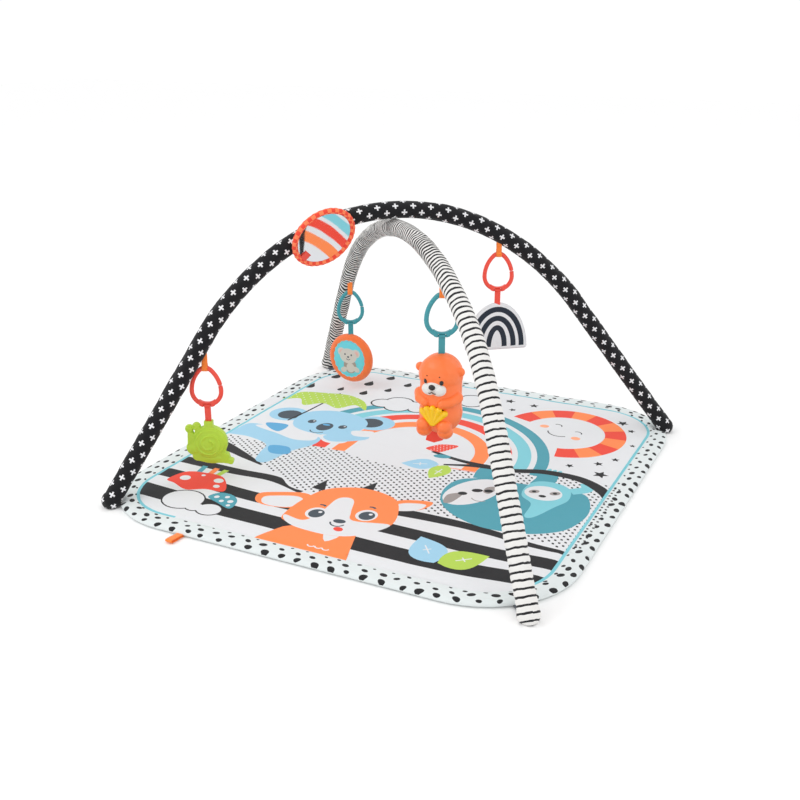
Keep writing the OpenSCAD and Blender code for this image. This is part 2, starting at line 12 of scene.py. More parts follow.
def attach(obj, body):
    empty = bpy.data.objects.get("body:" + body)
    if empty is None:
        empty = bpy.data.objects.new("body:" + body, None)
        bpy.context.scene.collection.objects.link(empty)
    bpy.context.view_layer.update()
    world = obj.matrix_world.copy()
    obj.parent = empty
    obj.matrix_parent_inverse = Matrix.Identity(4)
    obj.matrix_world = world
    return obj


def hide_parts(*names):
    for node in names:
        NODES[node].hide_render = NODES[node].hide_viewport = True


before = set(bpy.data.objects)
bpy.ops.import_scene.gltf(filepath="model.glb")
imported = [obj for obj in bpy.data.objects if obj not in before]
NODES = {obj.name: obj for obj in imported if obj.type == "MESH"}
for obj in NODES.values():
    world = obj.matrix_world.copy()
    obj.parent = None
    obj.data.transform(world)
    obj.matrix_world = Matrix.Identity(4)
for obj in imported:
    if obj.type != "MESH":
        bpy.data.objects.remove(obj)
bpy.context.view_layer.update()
MM = 0.001


# ---------- Camera, floor and light ----------
def look_at(location, target):
    """Matrix of an object at location that looks at target."""
    direction = Vector(target) - Vector(location)
    return Matrix.Translation(location) @ direction.to_track_quat("-Z", "Y").to_matrix().to_4x4()


def make_camera():
    data = bpy.data.cameras.new("camera")
    data.lens = 46.77
    data.sensor_width = 36
    data.clip_end = 20
    camera = bpy.data.objects.new("camera", data)
    camera.matrix_world = look_at((0.708, -1.484, 0.729), (-0.147, 0.258, 0))
    bpy.context.collection.objects.link(camera)
    bpy.context.scene.camera = camera


def area_light(name, location, target, size, power):
    data = bpy.data.lights.new(name, "AREA")
    data.size = size
    data.energy = power
    lamp = bpy.data.objects.new(name, data)
    lamp.matrix_world = look_at(location, target)
    bpy.context.collection.objects.link(lamp)


def make_studio():
    world = bpy.data.worlds.new("studio")
    world.use_nodes = True
    background = world.node_tree.nodes["Background"]
    background.inputs["Color"].default_value = (1, 1, 1, 1)
    background.inputs["Strength"].default_value = 1.03
    bpy.context.scene.world = world
    area_light("key", (-1.3, -1.2, 2.2), (0, 0, 0.1), 1.3, 11)
    area_light("fill", (1.9, -0.9, 1.5), (0, 0, 0.1), 1.5, 2)
    bpy.context.scene.view_settings.view_transform = "Standard"


def make_floor():
    half = 8.0
    mesh = bpy.data.meshes.new("floor")
    corners = [(x * half, y * half, -0.0005) for x, y in ((-1, -1), (1, -1), (1, 1), (-1, 1))]
    mesh.from_pydata(corners, [], [(0, 1, 2, 3)])
    floor = bpy.data.objects.new("floor", mesh)
    bpy.context.collection.objects.link(floor)
    floor.data.materials.append(Shader("floor_paint", (0.97, 0.97, 0.97), 0.9).material)


# ---------- Materials ----------
class Shader:
    """A Principled material with short ways to add nodes to it."""

    def __init__(self, name, colour, roughness, **values):
        self.material = bpy.data.materials.new(name)
        self.material.use_nodes = True
        self.tree = self.material.node_tree
        self.surface = self.tree.nodes["Principled BSDF"]
        self.surface.inputs["Base Color"].default_value = (*colour, 1)
        self.surface.inputs["Roughness"].default_value = roughness
        for key, value in values.items():
            self.surface.inputs[key.replace("_", " ")].default_value = value
        self.material.diffuse_color = (*colour, 1)

    def add(self, kind, inputs=None, **settings):
        node = self.tree.nodes.new("ShaderNode" + kind)
        for key, value in settings.items():
            setattr(node, key, value)
        for key, value in (inputs or {}).items():
            self.feed(node.inputs[key], value)
        return node

    def feed(self, socket, value):
        if isinstance(value, bpy.types.NodeSocket):
            self.tree.links.new(value, socket)
        else:
            socket.default_value = value

    def math(self, operation, a, b=0.0, c=0.0):
        return self.add("Math", {0: a, 1: b, 2: c}, operation=operation).outputs[0]

    def place(self, scale=1.0):
        """The object's own coordinates, in metres times scale."""
        where = self.add("TexCoord").outputs["Object"]
        return self.add("VectorMath", {0: where, 1: (scale, scale, scale)}, operation="MULTIPLY").outputs[0]

    def noise(self, per_metre, detail=3.0, rough=0.5):
        return self.add("TexNoise", {"Vector": self.place(), "Scale": per_metre, "Detail": detail,
                                     "Roughness": rough}).outputs["Fac"]

    def blend(self, factor, a, b):
        mix = self.add("Mix", data_type="RGBA")
        self.feed(mix.inputs["Factor"], factor)
        self.feed(mix.inputs[6], a)
        self.feed(mix.inputs[7], b)
        return mix.outputs[2]

    def vary_roughness(self, factor, low, high):
        span = self.add("MapRange", {"Value": factor, "To Min": low, "To Max": high})
        self.feed(self.surface.inputs["Roughness"], span.outputs[0])

    def bump(self, height, strength, distance):
        node = self.add("Bump", {"Height": height, "Strength": strength, "Distance": distance})
        self.feed(self.surface.inputs["Normal"], node.outputs[0])

    def weave(self, per_metre=900.0):
        """Height of a plain weave whose threads run along the object's x, y and z."""
        x, y, z = self.add("SeparateXYZ", {0: self.place(per_metre * math.tau)}).outputs
        threads = [self.math("SINE", axis) for axis in (x, y, z)]
        total = self.math("ADD", self.math("ADD", threads[0], threads[1]), threads[2])
        return self.math("MULTIPLY_ADD", total, 0.17, 0.5)


def cloth_print(name, colour):
    """Printed polyester, with one plain colour to each patch of the print."""
    shader = Shader(name, colour, 0.8, Sheen_Weight=0.08, Specular_IOR_Level=0.25)
    shader.vary_roughness(shader.noise(60), 0.72, 0.9)
    height = shader.math("ADD", shader.weave(), shader.math("MULTIPLY", shader.noise(140), 1.5))
    shader.bump(height, 0.22, 0.0004)
    return shader.material


def ribbon(name, colour):
    """Grosgrain: fine ribs along the object's z."""
    shader = Shader(name, colour, 0.55, Sheen_Weight=0.2)
    x, y, z = shader.add("SeparateXYZ", {0: shader.place(1400 * math.tau)}).outputs
    ribs = shader.math("SINE", z)
    shader.vary_roughness(shader.noise(300), 0.45, 0.65)
    shader.bump(shader.math("ADD", ribs, shader.noise(900)), 0.3, 0.0003)
    return shader.material


def moulded(name, colour, roughness=0.3, texture=0.12, **values):
    """Moulded plastic with a faint orange-peel and uneven gloss."""
    shader = Shader(name, colour, roughness, **values)
    shader.vary_roughness(shader.noise(90, 2), roughness * 0.8, roughness * 1.25)
    shader.bump(shader.noise(700, 2), texture, 0.0004)
    return shader.material


def rubbery(name, colour):
    shader = Shader(name, colour, 0.45, Subsurface_Weight=0.12, Subsurface_Scale=0.006,
                    Specular_IOR_Level=0.4)
    shader.surface.inputs["Subsurface Radius"].default_value = (1.0, 0.8, 0.3)
    shader.vary_roughness(shader.noise(70, 2), 0.36, 0.55)
    shader.bump(shader.noise(900, 3), 0.2, 0.0003)
    return shader.material


def brushed(name, colour):
    shader = Shader(name, colour, 0.35, Metallic=1.0)
    shader.vary_roughness(shader.noise(500, 4), 0.22, 0.45)
    shader.bump(shader.noise(1600, 2), 0.1, 0.0002)
    return shader.material


def mirror_film(name):
    """Flexible mirror plastic, with the slight waves of a film on a soft backing."""
    shader = Shader(name, (0.93, 0.95, 0.96), 0.05, Metallic=1.0)
    shader.vary_roughness(shader.noise(40, 2), 0.01, 0.05)
    shader.bump(shader.noise(18, 1), 0.08, 0.002)
    return shader.material


def sleeve_height(shader, crease_scale):
    """Weave with soft creases, in the sleeve's own unrolled coordinates."""
    cloth = shader.add("UVMap", uv_map="cloth").outputs[0]
    creases = shader.add("TexNoise", {"Vector": cloth, "Scale": crease_scale, "Detail": 3.0})
    return shader.math("ADD", shader.weave(), shader.math("MULTIPLY", creases.outputs["Fac"], 3.0))


def plus_cloth(name, around):
    """Black cloth with rows of white plus signs, staggered row by row round a tube."""
    pitch, rows, arm, thick = 0.0305, 8, 0.0098, 0.0027
    row_w = around / rows
    shader = Shader(name, (0.01, 0.01, 0.012), 0.85, Sheen_Weight=0.12, Specular_IOR_Level=0.2)
    unrolled = shader.add("UVMap", uv_map="cloth").outputs[0]
    along, round_, _ = shader.add("SeparateXYZ", {0: unrolled}).outputs
    row = shader.math("FLOOR", shader.math("DIVIDE", round_, row_w))
    odd = shader.math("FLOORED_MODULO", row, 2.0)
    shifted = shader.math("MULTIPLY_ADD", odd, pitch / 2, along)

    def from_middle(value, cell):
        """Distance from the middle of a repeating cell."""
        within = shader.math("FLOORED_MODULO", value, cell)
        return shader.math("ABSOLUTE", shader.math("SUBTRACT", within, cell / 2))

    x, y = from_middle(shifted, pitch), from_middle(round_, row_w)

    def bar(half_x, half_y):
        beside, between = shader.math("LESS_THAN", x, half_x), shader.math("LESS_THAN", y, half_y)
        return shader.math("MULTIPLY", beside, between)

    plus = shader.math("MAXIMUM", bar(arm / 2, thick / 2), bar(thick / 2, arm / 2))
    colour = shader.blend(plus, (0.01, 0.01, 0.012, 1), (0.78, 0.78, 0.8, 1))
    shader.feed(shader.surface.inputs["Base Color"], colour)
    shader.vary_roughness(shader.noise(200), 0.75, 0.95)
    shader.bump(sleeve_height(shader, 90.0), 0.3, 0.0006)
    return shader.material


def striped_cloth(name, loose_to, tight_from):
    """Off-white cloth with black stripes one unit apart along the tube, wider where gathered."""
    shader = Shader(name, (0.8, 0.79, 0.77), 0.85, Sheen_Weight=0.12, Specular_IOR_Level=0.2)
    unrolled = shader.add("UVMap", uv_map="stripes").outputs[0]
    wander = shader.add("TexNoise", {"Vector": unrolled, "Scale": 0.7, "Detail": 1.0}).outputs["Fac"]
    along, round_, _ = shader.add("SeparateXYZ", {0: unrolled}).outputs
    phase = shader.math("FLOORED_MODULO", shader.math("MULTIPLY_ADD", wander, 0.3, along), 1.0)
    width = shader.add("MapRange", {"Value": along, "From Min": loose_to, "From Max": tight_from,
                                    "To Min": 0.29, "To Max": 0.45}).outputs[0]
    stripe = shader.math("LESS_THAN", phase, width)
    ink = shader.blend(shader.noise(500), (0.012, 0.012, 0.014, 1), (0.035, 0.035, 0.038, 1))
    colour = shader.blend(stripe, (0.8, 0.79, 0.77, 1), ink)
    shader.feed(shader.surface.inputs["Base Color"], colour)
    shader.vary_roughness(shader.noise(200), 0.75, 0.95)
    shader.bump(sleeve_height(shader, 120.0), 0.3, 0.0006)
    return shader.material


def use(node, material):
    """Gives a CAD node a finished material."""
    slots = NODES[node].material_slots
    for slot in slots:
        slot.link = "OBJECT"
        slot.material = material
    if not slots:
        NODES[node].data.materials.append(material)


def dress(piece, body, slot, *nodes, fill=None):
    """Makes a piece ride on a body and stand for CAD nodes, which it hides. slot is not used. Only padding
    has a fill, and fill is not used.
    """
    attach(piece, body)
    if nodes:
        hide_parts(*nodes)


# ---------- Mesh helpers ----------
def new_object(name, verts, faces, materials, smooth=True):
    mesh = bpy.data.meshes.new(name)
    mesh.from_pydata([tuple(v) for v in verts], [], faces)
    for material in materials:
        mesh.materials.append(material)
    if smooth:
        mesh.shade_smooth()
    thing = bpy.data.objects.new(name, mesh)
    bpy.context.collection.objects.link(thing)
    return thing


def grid_faces(rows, columns, closed):
    """Quads of a grid of rows by columns of vertices, closed round its columns if asked."""
    faces = []
    for i in range(rows - 1):
        for j in range(columns if closed else columns - 1):
            k = (j + 1) % columns
            faces.append((i * columns + j, i * columns + k, (i + 1) * columns + k, (i + 1) * columns + j))
    return faces


def apply_modifiers(thing):
    """Bakes an object's modifiers into its mesh."""
    depsgraph = bpy.context.evaluated_depsgraph_get()
    mesh = bpy.data.meshes.new_from_object(thing.evaluated_get(depsgraph))
    thing.modifiers.clear()
    old = thing.data
    thing.data = mesh
    bpy.data.meshes.remove(old)
    mesh.shade_smooth()


# ---------- Stuffing ----------
def simulate_pad(name, half_w, half_d, pitch, held, pressure, bulge, spare=0.0):
    """Blows up a sheet of cloth that is held where held(x, y) is true, all in millimetres.
    spare is the share by which the cloth is longer than its frame, which makes it wrinkle.
    Returns a function from a point in metres to its rise in millimetres, at most bulge."""
    columns, rows = int(2 * half_w / pitch) + 1, int(2 * half_d / pitch) + 1
    places = [(-half_w + i * pitch, -half_d + j * pitch) for i in range(columns) for j in range(rows)]
    # Ten times life size, because Blender's cloth is steadier at that scale
    enlarged = [Vector((x, y, 0)) * MM * 10 for x, y in places]
    cloth = new_object(name, enlarged, grid_faces(columns, rows, False), [])
    group = cloth.vertex_groups.new(name="held")
    group.add([k for k, (x, y) in enumerate(places) if held(x, y)], 1.0, "REPLACE")
    sewn = cloth.modifiers.new("cloth", "CLOTH")
    sewn.settings.quality = 5
    sewn.settings.mass = 0.3
    sewn.settings.tension_stiffness = 15
    sewn.settings.compression_stiffness = 15
    sewn.settings.bending_stiffness = 0.6
    sewn.settings.vertex_group_mass = "held"
    sewn.settings.shrink_min = -spare
    sewn.settings.use_pressure = True
    sewn.settings.uniform_pressure_force = pressure
    sewn.settings.effector_weights.gravity = 0
    scene = bpy.context.scene
    for frame_number in range(1, 21):
        scene.frame_set(frame_number)
    depsgraph = bpy.context.evaluated_depsgraph_get()
    blown = cloth.evaluated_get(depsgraph).data
    rise = np.abs([v.co.z for v in blown.vertices]).reshape(columns, rows)
    bpy.data.objects.remove(cloth)
    scene.frame_set(1)
    top = max(1e-6, float(rise.max()))
    rise = np.clip(rise, 0, top) / top * bulge

    def rise_at(x, y):
        i = min(max((x / MM + half_w) / pitch, 0), columns - 1.001)
        j = min(max((y / MM + half_d) / pitch, 0), rows - 1.001)
        a, b = int(i), int(j)
        u, v = i - a, j - b
        low = rise[a, b] * (1 - v) + rise[a, b + 1] * v
        high = rise[a + 1, b] * (1 - v) + rise[a + 1, b + 1] * v
        return float(low * (1 - u) + high * u)

    return rise_at


# ---------- Flat artwork ----------
def smooth_line(points, per_span=6, closed=False):
    """Points on a smooth curve through the given ones."""
    pts = [Vector(p) for p in points]
    n = len(pts)
    spans = n if closed else n - 1
    line = []
    for i in range(spans):
        if closed:
            a, b, c, d = pts[i - 1], pts[i], pts[(i + 1) % n], pts[(i + 2) % n]
        else:
            b, c = pts[i], pts[i + 1]
            a = pts[i - 1] if i > 0 else 2 * b - c
            d = pts[i + 2] if i + 2 < n else 2 * c - b
        for k in range(per_span):
            t = k / per_span
            line.append(0.5 * (2 * b + (c - a) * t + (2 * a - 5 * b + 4 * c - d) * t * t
                               + (3 * b - a - 3 * c + d) * t ** 3))
    if not closed:
        line.append(pts[-1])
    return line


def oval(x, y, rx, ry, turn=0.0, sides=24):
    """Outline of an ellipse turned by an angle in degrees."""
    c, s = math.cos(math.radians(turn)), math.sin(math.radians(turn))
    ring = []
    for k in range(sides):
        a = math.tau * k / sides
        px, py = rx * math.cos(a), ry * math.sin(a)
        ring.append(Vector((x + px * c - py * s, y + px * s + py * c)))
    return ring


def stroke(line, widths):
    """Outline of a brush stroke along a line. widths is one width or a (start, end) pair."""
    start, end = widths if isinstance(widths, tuple) else (widths, widths)
    left, right = [], []
    for i, p in enumerate(line):
        before, after = line[max(i - 1, 0)], line[min(i + 1, len(line) - 1)]
        way = (after - before).normalized()
        half = (start + (end - start) * i / (len(line) - 1)) / 2
        across = Vector((-way.y, way.x)) * half
        left.append(p + across)
        right.append(p - across)
    return right + left[::-1]


def arc_line(x, y, r, from_deg, to_deg, steps=24):
    angles = [math.radians(from_deg + (to_deg - from_deg) * k / steps) for k in range(steps + 1)]
    return [Vector((x + r * math.cos(a), y + r * math.sin(a))) for a in angles]


def star(x, y, r, turn=0.0):
    ring = []
    for k in range(10):
        a = math.radians(90 + turn + 36 * k)
        reach = r if k % 2 == 0 else r * 0.45
        ring.append(Vector((x + reach * math.cos(a), y + reach * math.sin(a))))
    return ring


def leaf(x, y, length, width, turn):
    """A pointed leaf whose tip lies along turn, in degrees, from its middle."""
    sides = 12
    top = [Vector((length * (k / sides - 0.5), width / 2 * math.sin(math.pi * (k / sides) ** 0.8)))
           for k in range(sides + 1)]
    ring = [Vector((p.x, -p.y)) for p in top[:-1]] + [p for p in top[:0:-1]]
    spin = Matrix.Rotation(math.radians(turn), 2)
    return [spin @ p + Vector((x, y)) for p in ring]


class Artwork:
    """Patches of plain colour in painter's order, in millimetres."""

    def __init__(self, base_ink, base_outline):
        self.patches = []
        self.patch(base_ink, base_outline)

    def patch(self, ink, outline, within=None, outside=None):
        """Adds a patch and returns its number. It shows only inside and outside the patches named."""
        points = [Vector(p) for p in outline]
        area = sum(a.cross(b) for a, b in zip(points, points[1:] + points[:1]))
        if area < 0:
            points.reverse()
        self.patches.append((ink, points, within, outside))
        return len(self.patches) - 1

    def oval(self, ink, *measures, within=None):
        """Adds an ellipse, with the measures that oval() takes."""
        return self.patch(ink, oval(*measures), within)

    def shape(self, ink, points, per_span, within=None):
        """Adds a patch whose outline runs smoothly through the points."""
        return self.patch(ink, smooth_line(points, per_span, closed=True), within)

    def arc(self, ink, width, *measures):
        """Adds a curved brush stroke, with the measures that arc_line() takes."""
        return self.patch(ink, stroke(arc_line(*measures), width))

    def line(self, ink, points, width):
        """Adds a smooth brush stroke through the points."""
        return self.patch(ink, stroke(smooth_line(points), width))

    def ink_of(self, covering):
        """The ink that shows where all the patches in covering overlap."""
        if 0 not in covering:
            return None
        for number in sorted(covering, reverse=True):
            ink, _, within, outside = self.patches[number]
            if (within is None or within in covering) and (outside is None or outside not in covering):
                return ink
        return None

    def triangles(self, extra_points):
        """(2-D points in metres, triangles, ink of each) of the overlaid patches."""
        points, outlines = [], []
        for _, outline, _, _ in self.patches:
            outlines.append(list(range(len(points), len(points) + len(outline))))
            points.extend(outline)
        points.extend(Vector(p) for p in extra_points)
        made = geometry.delaunay_2d_cdt(points, [], outlines, 0, 1e-4)
        verts, _, faces, _, _, sources = made
        shown = [(face, self.ink_of(set(source))) for face, source in zip(faces, sources)]
        shown = [(face, ink) for face, ink in shown if ink is not None]
        return [v * MM for v in verts], [face for face, _ in shown], [ink for _, ink in shown]


INKS = {
    "white": (0.76, 0.77, 0.79),
    "mint": (0.74, 0.79, 0.79),
    "black": (0.016, 0.016, 0.018),
    "orange": (1.0, 0.26, 0.08),
    "red": (0.86, 0.068, 0.04),
    "teal": (0.078, 0.34, 0.42),
    "aqua": (0.22, 0.6, 0.68),
    "sky": (0.35, 0.62, 0.8),
    "blue": (0.11, 0.39, 0.66),
    "green": (0.46, 0.66, 0.09),
    "grey": (0.33, 0.3, 0.29),
    "slate": (0.06, 0.08, 0.1),
    "peach": (1.0, 0.42, 0.24),
    "tangerine": (1.0, 0.24, 0.1),
    "coral": (1.0, 0.19, 0.04),
    "lagoon": (0.16, 0.62, 0.72),
    "charcoal": (0.022, 0.03, 0.045),
    "fawn": (0.62, 0.57, 0.54),
    "taupe": (0.36, 0.3, 0.27),
    "rose": (0.75, 0.42, 0.38),
}
_ink_materials = {}


def ink_material(ink):
    if ink not in _ink_materials:
        _ink_materials[ink] = cloth_print("print_" + ink, INKS[ink])
    return _ink_materials[ink]


def printed_object(name, art, extra_points, lift):
    """A mesh of an artwork, with lift(x, y) giving where each of its points goes."""
    verts, faces, inks = art.triangles(extra_points)
    names = sorted(set(inks))
    used = sorted({k for face in faces for k in face})
    renumber = {old: new for new, old in enumerate(used)}
    placed = [lift(verts[k].x, verts[k].y) for k in used]
    faces = [tuple(renumber[k] for k in face) for face in faces]
    thing = new_object(name, placed, faces, [ink_material(ink) for ink in names])
    thing.data.polygons.foreach_set("material_index", [names.index(ink) for ink in inks])
    return thing


# ---------- The mat's print ----------
MAT_W, MAT_D, MAT_CORNER = 760, 800, 150
PANEL_INSET = 35
PANEL_CORNER = 100
SEAM_LINE = 5


def rounded_outline(half_w, half_d, r, steps=14):
    ring = []
    for cx, cy, start in ((1, 1, 0), (-1, 1, 90), (-1, -1, 180), (1, -1, 270)):
        centre = Vector((cx * (half_w - r), cy * (half_d - r)))
        for k in range(steps + 1):
            a = math.radians(start + 90 * k / steps)
            ring.append(centre + Vector((r * math.cos(a), r * math.sin(a))))
    return ring


def resample(ring, spacing):
    """Evenly spaced (point, outward normal) pairs round a closed outline that runs anticlockwise."""
    closed = ring + ring[:1]
    lengths = [0.0]
    for a, b in zip(closed, closed[1:]):
        lengths.append(lengths[-1] + (b - a).length)
    count = max(3, round(lengths[-1] / spacing))
    out, k = [], 0
    for i in range(count):
        s = lengths[-1] * i / count
        while lengths[k + 1] < s:
            k += 1
        way = closed[k + 1] - closed[k]
        t = (s - lengths[k]) / max(way.length, 1e-9)
        out.append((closed[k] + way * t, Vector((way.y, -way.x)).normalized()))
    return out


def mat_outline(inset=0.0):
    return rounded_outline(MAT_W / 2 - inset, MAT_D / 2 - inset, MAT_CORNER - inset)


def draw_border_spots(art, panel):
    """Uneven black spots in three staggered rows round the border."""
    rng = random.Random(7)
    rows = ((4.5, 5.8, 4.0), (18.5, 5.6, 3.6), (28.5, 3.2, 2.1))
    for row, (inset, long_r, short_r) in enumerate(rows):
        for p, normal in resample(mat_outline(inset), 27):
            slide = Vector((-normal.y, normal.x)) * (9 * row + rng.uniform(-4, 4))
            spot = p + slide + normal * rng.uniform(-1.5, 1.5)
            size = rng.uniform(0.75, 1.2)
            turn = math.degrees(math.atan2(normal.x, -normal.y)) + rng.uniform(-30, 30)
            art.patch("black", oval(spot.x, spot.y, long_r * size, short_r * size, turn, 12), outside=panel)


def draw_stripes(art, panel):
    """Black bands across the front, each a gentle wave."""
    bands = (
        ([(-400, -88), (-310, -104), (-250, -128), (-205, -146)], (42, 12)),
        ([(-400, -178), (-330, -184), (-240, -190), (-160, -188), (-90, -208)], (26, 18)),
        ([(50, -208), (160, -202), (230, -205), (300, -214), (400, -210)], (25, 8)),
        ([(-400, -236), (-300, -242), (-200, -254), (-110, -258), (80, -260), (250, -261), (330, -254),
          (400, -248)], 30),
        ([(-400, -296), (-300, -308), (-180, -314), (100, -321), (220, -320), (310, -309),
          (400, -300)], (40, 31)),
    )
    for points, width in bands:
        art.patch("black", stroke(smooth_line(points, 8), width), within=panel)


def draw_dash_band(art, panel):
    """A white band of small staggered dashes across the middle."""
    upper = smooth_line([(-400, -42), (-330, -56), (-260, -58), (-175, -20), (-120, -34), (-60, -54),
                         (10, -58), (70, -44), (120, -14), (200, 22), (400, 34)], 4)
    lower = smooth_line([(-400, -68), (-330, -84), (-270, -112), (-205, -148), (-150, -178), (-105, -206),
                         (0, -200), (120, -186), (200, -192), (290, -200), (400, -208)], 4)
    band = art.patch("white", upper + lower[::-1], within=panel)
    pitch_x, pitch_y = 15.5, 5.6
    for row in range(46):
        y = 40 - row * pitch_y
        for column in range(46):
            x = -346 + (column + 0.5 * (row % 2)) * pitch_x
            if inside(upper, lower, x, y):
                dash = [(x - 1.2, y - 2.1), (x + 2.4, y - 2.1), (x + 1.2, y + 2.1), (x - 2.4, y + 2.1)]
                art.patch("black", dash, within=band)


def inside(upper, lower, x, y):
    """True where a point lies between two lines that run left to right, with a little to spare."""
    top = np.interp(x, [p.x for p in upper], [p.y for p in upper])
    low = np.interp(x, [p.x for p in lower], [p.y for p in lower])
    return low + 2 < y < top - 2


def draw_rainbow(art, panel):
    x, y = -2, 17
    bands = (("teal", 234), ("white", 213), ("aqua", 203), ("white", 180), ("red", 170), ("white", 145),
             ("orange", 131), ("white", 106))
    for ink, r in bands:
        foot = -60 if r < 175 else -10
        ends = Vector((x + r, y + foot * 0.65)), Vector((x - r, y + foot))
        art.patch(ink, [ends[0]] + arc_line(x, y, r, 0, 180, 48) + [ends[1]], within=panel)


def draw_sun(art):
    """A round smiling face in a ring of red and orange pieces."""
    x, y, outer, inner = 205, 212, 113, 75
    first, last, count = 162, -80, 11
    step = (last - first) / count
    for k in range(count):
        a, b = first + k * step, first + (k + 1) * step
        ring = arc_line(x, y, outer, a, b, 6) + arc_line(x, y, inner, b, a, 6)
        art.patch("red" if k % 2 == 0 else "orange", ring)
    face = Matrix.Rotation(math.radians(-25), 2)
    middle = Vector((x - 4, y + 2))
    for side in (-1, 1):
        eye = middle + face @ Vector((side * 24, 16))
        art.arc("black", 2.2, eye.x, eye.y, 8, -5, 135, 8)
        cheek = middle + face @ Vector((side * 38, -4))
        art.oval("peach", cheek.x, cheek.y, 8.5, 7.5)
    smile = middle + face @ Vector((0, 0))
    art.arc("black", 2.4, smile.x, smile.y, 24, 195, 305, 12)


def draw_stars(art):
    spots = ((62, 322, 11), (112, 320, 10), (83, 279, 8), (290, 306, 12), (314, 275, 8), (322, 137, 8),
             (301, 107, 9), (260, 76, 8), (316, 66, 14), (333, 210, 6), (40, 290, 7))
    for k, (x, y, r) in enumerate(spots):
        art.patch("black", star(x, y, r, 17 * k))


def draw_cloud(art, x, y, scale):
    lumps = ((-34, -10, 22), (-8, 10, 26), (22, 2, 22), (40, -14, 16), (0, -18, 24))
    for ink, grow in (("black", 3.2), ("white", 0)):
        for dx, dy, r in lumps:
            art.oval(ink, x + dx * scale, y + dy * scale, r * scale + grow, r * scale * 0.9 + grow)


def draw_raindrops(art):
    drops = ((-317, 300, 13), (-233, 288, 13), (-209, 340, 12), (-158, 316, 11), (-180, 270, 10),
             (-337, 228, 13), (-270, 236, 9), (-217, 234, 11), (-339, 121, 10), (-280, 345, 12),
             (-128, 352, 10), (-75, 330, 9), (-258, 205, 7))
    for x, y, r in drops:
        round_end = arc_line(x, y, r * 0.75, 150, 390, 12)
        art.patch("black", round_end + [Vector((x - r * 0.1, y + r * 1.6))])


def draw_umbrella(art):
    dome = [(-348, 142), (-335, 190), (-290, 205), (-235, 212), (-190, 190), (-168, 150), (-200, 168),
            (-222, 138), (-262, 152), (-292, 128), (-318, 158)]
    cover = art.shape("green", dome, 6)
    for row in range(8):
        for column in range(12):
            x, y = -345 + 16 * column + 8 * (row % 2), 205 - 10 * row
            art.oval("white", x, y, 1.5, 1.5, 0, 6, within=cover)
    art.line("black", [(-262, 152), (-268, 95), (-276, 44)], 4)


def draw_blue_bear(art):
    """A light-blue bear under the umbrella, with dark ears, standing on a small cloud."""
    for x, y, r in ((-310, 5, 30), (-345, 120, 26), (-150, 0, 20)):
        art.oval("white", x, y, r * 1.3, r)
    body = [(-340, -22), (-330, 6), (-270, 6), (-215, 2), (-175, -8), (-172, -40), (-192, -78), (-205, -136),
            (-228, -136), (-240, -100), (-250, -70), (-300, -52), (-345, -52)]
    art.shape("sky", body, 5)
    art.shape("blue", [(-240, -72), (-205, -66), (-190, -92), (-222, -100)], 5)
    chest = [(-318, 0), (-270, 16), (-200, 12), (-180, -18), (-215, -32), (-262, -18)]
    art.shape("white", chest, 5)
    art.shape("sky", [(-175, 8), (-120, 40), (-98, 34), (-104, 14), (-150, -12)], 5)
    art.shape("blue", [(-305, 20), (-262, 24), (-262, -10), (-292, 2)], 5)
    for x, y, r in ((-292, 74, 38), (-120, 98, 38)):
        art.oval("sky", x, y, r, r * 0.9)
        art.oval("slate", x + (4 if x < -200 else -8), y - 2, r * 0.62, r * 0.58)
    head = [(-268, 62), (-258, 104), (-215, 124), (-165, 118), (-132, 92), (-128, 52), (-150, 20),
            (-200, 8), (-248, 22)]
    art.shape("sky", head, 6)
    art.shape("white", [(-140, 48), (-104, 60), (-96, 36), (-126, 28)], 5)
    for x, y in ((-231, 58), (-165, 56)):
        art.oval("slate", x, y, 8, 9)
        art.oval("white", x + 2.5, y + 3.5, 2.2, 2.2, 0, 10)
    art.oval("slate", -196, 44, 15, 19)
    art.oval("blue", -198, 54, 8, 4)
    art.arc("slate", 2.4, -199, 26, 15, 205, 335, 10)


def draw_branch(art, panel):
    bough = [(30, 25), (72, 13), (125, 8), (180, 12), (232, 32), (290, 32), (330, 12), (360, -18)]
    art.patch("black", stroke(smooth_line(bough, 8), (7, 24)), within=panel)
    art.patch("black", stroke(smooth_line([(70, -18), (110, -2), (150, 8)], 6), (5, 15)))
    art.oval("teal", 54, 12, 15, 8, 12)


def draw_teal_animal(art, panel):
    """A large round teal animal that hangs under the branch, with its small one on its belly."""
    body = [(108, -100), (118, -58), (160, -34), (200, -30), (245, -22), (285, -16), (318, -22), (336, -60),
            (338, -100), (322, -150), (280, -184), (215, -196), (160, -180), (122, -146)]
    art.shape("teal", body, 6, within=panel)
    art.line("teal", [(150, -40), (146, -12), (150, 12)], 34)
    art.line("teal", [(240, -22), (243, 4), (240, 26)], 34)
    art.line("aqua", [(292, -20), (312, 0), (306, 20)], 20)
    for k in range(3):
        art.oval("aqua", 236 + 9 * k, 40, 4, 9)
    art.oval("white", 153, -92, 34, 58, -22, 30)
    art.shape("grey", [(122, -118), (142, -104), (138, -140), (126, -146)], 5)
    art.shape("grey", [(168, -66), (184, -58), (180, -86), (168, -84)], 5)
    art.oval("black", 141, -104, 7.5, 6, 20)
    art.oval("black", 175, -78, 7, 5.5, 20)
    art.oval("black", 158, -84, 9, 6, 25)
    art.arc("grey", 2, 172, -104, 15, 215, 320, 8)
    small_one = [(222, -40), (230, -10), (258, 0), (288, -12), (298, -50), (286, -84), (268, -130),
                 (254, -132), (250, -90), (228, -70)]
    art.shape("aqua", small_one, 6)
    art.oval("white", 255, -45, 30, 26, 10, 26)
    for x, y in ((240, -46), (272, -38)):
        art.oval("grey", x, y, 9, 6, 40)
        art.oval("black", x, y, 3.5, 3.5, 0, 12)
    art.oval("black", 257, -56, 6, 4.5, 10, 14)


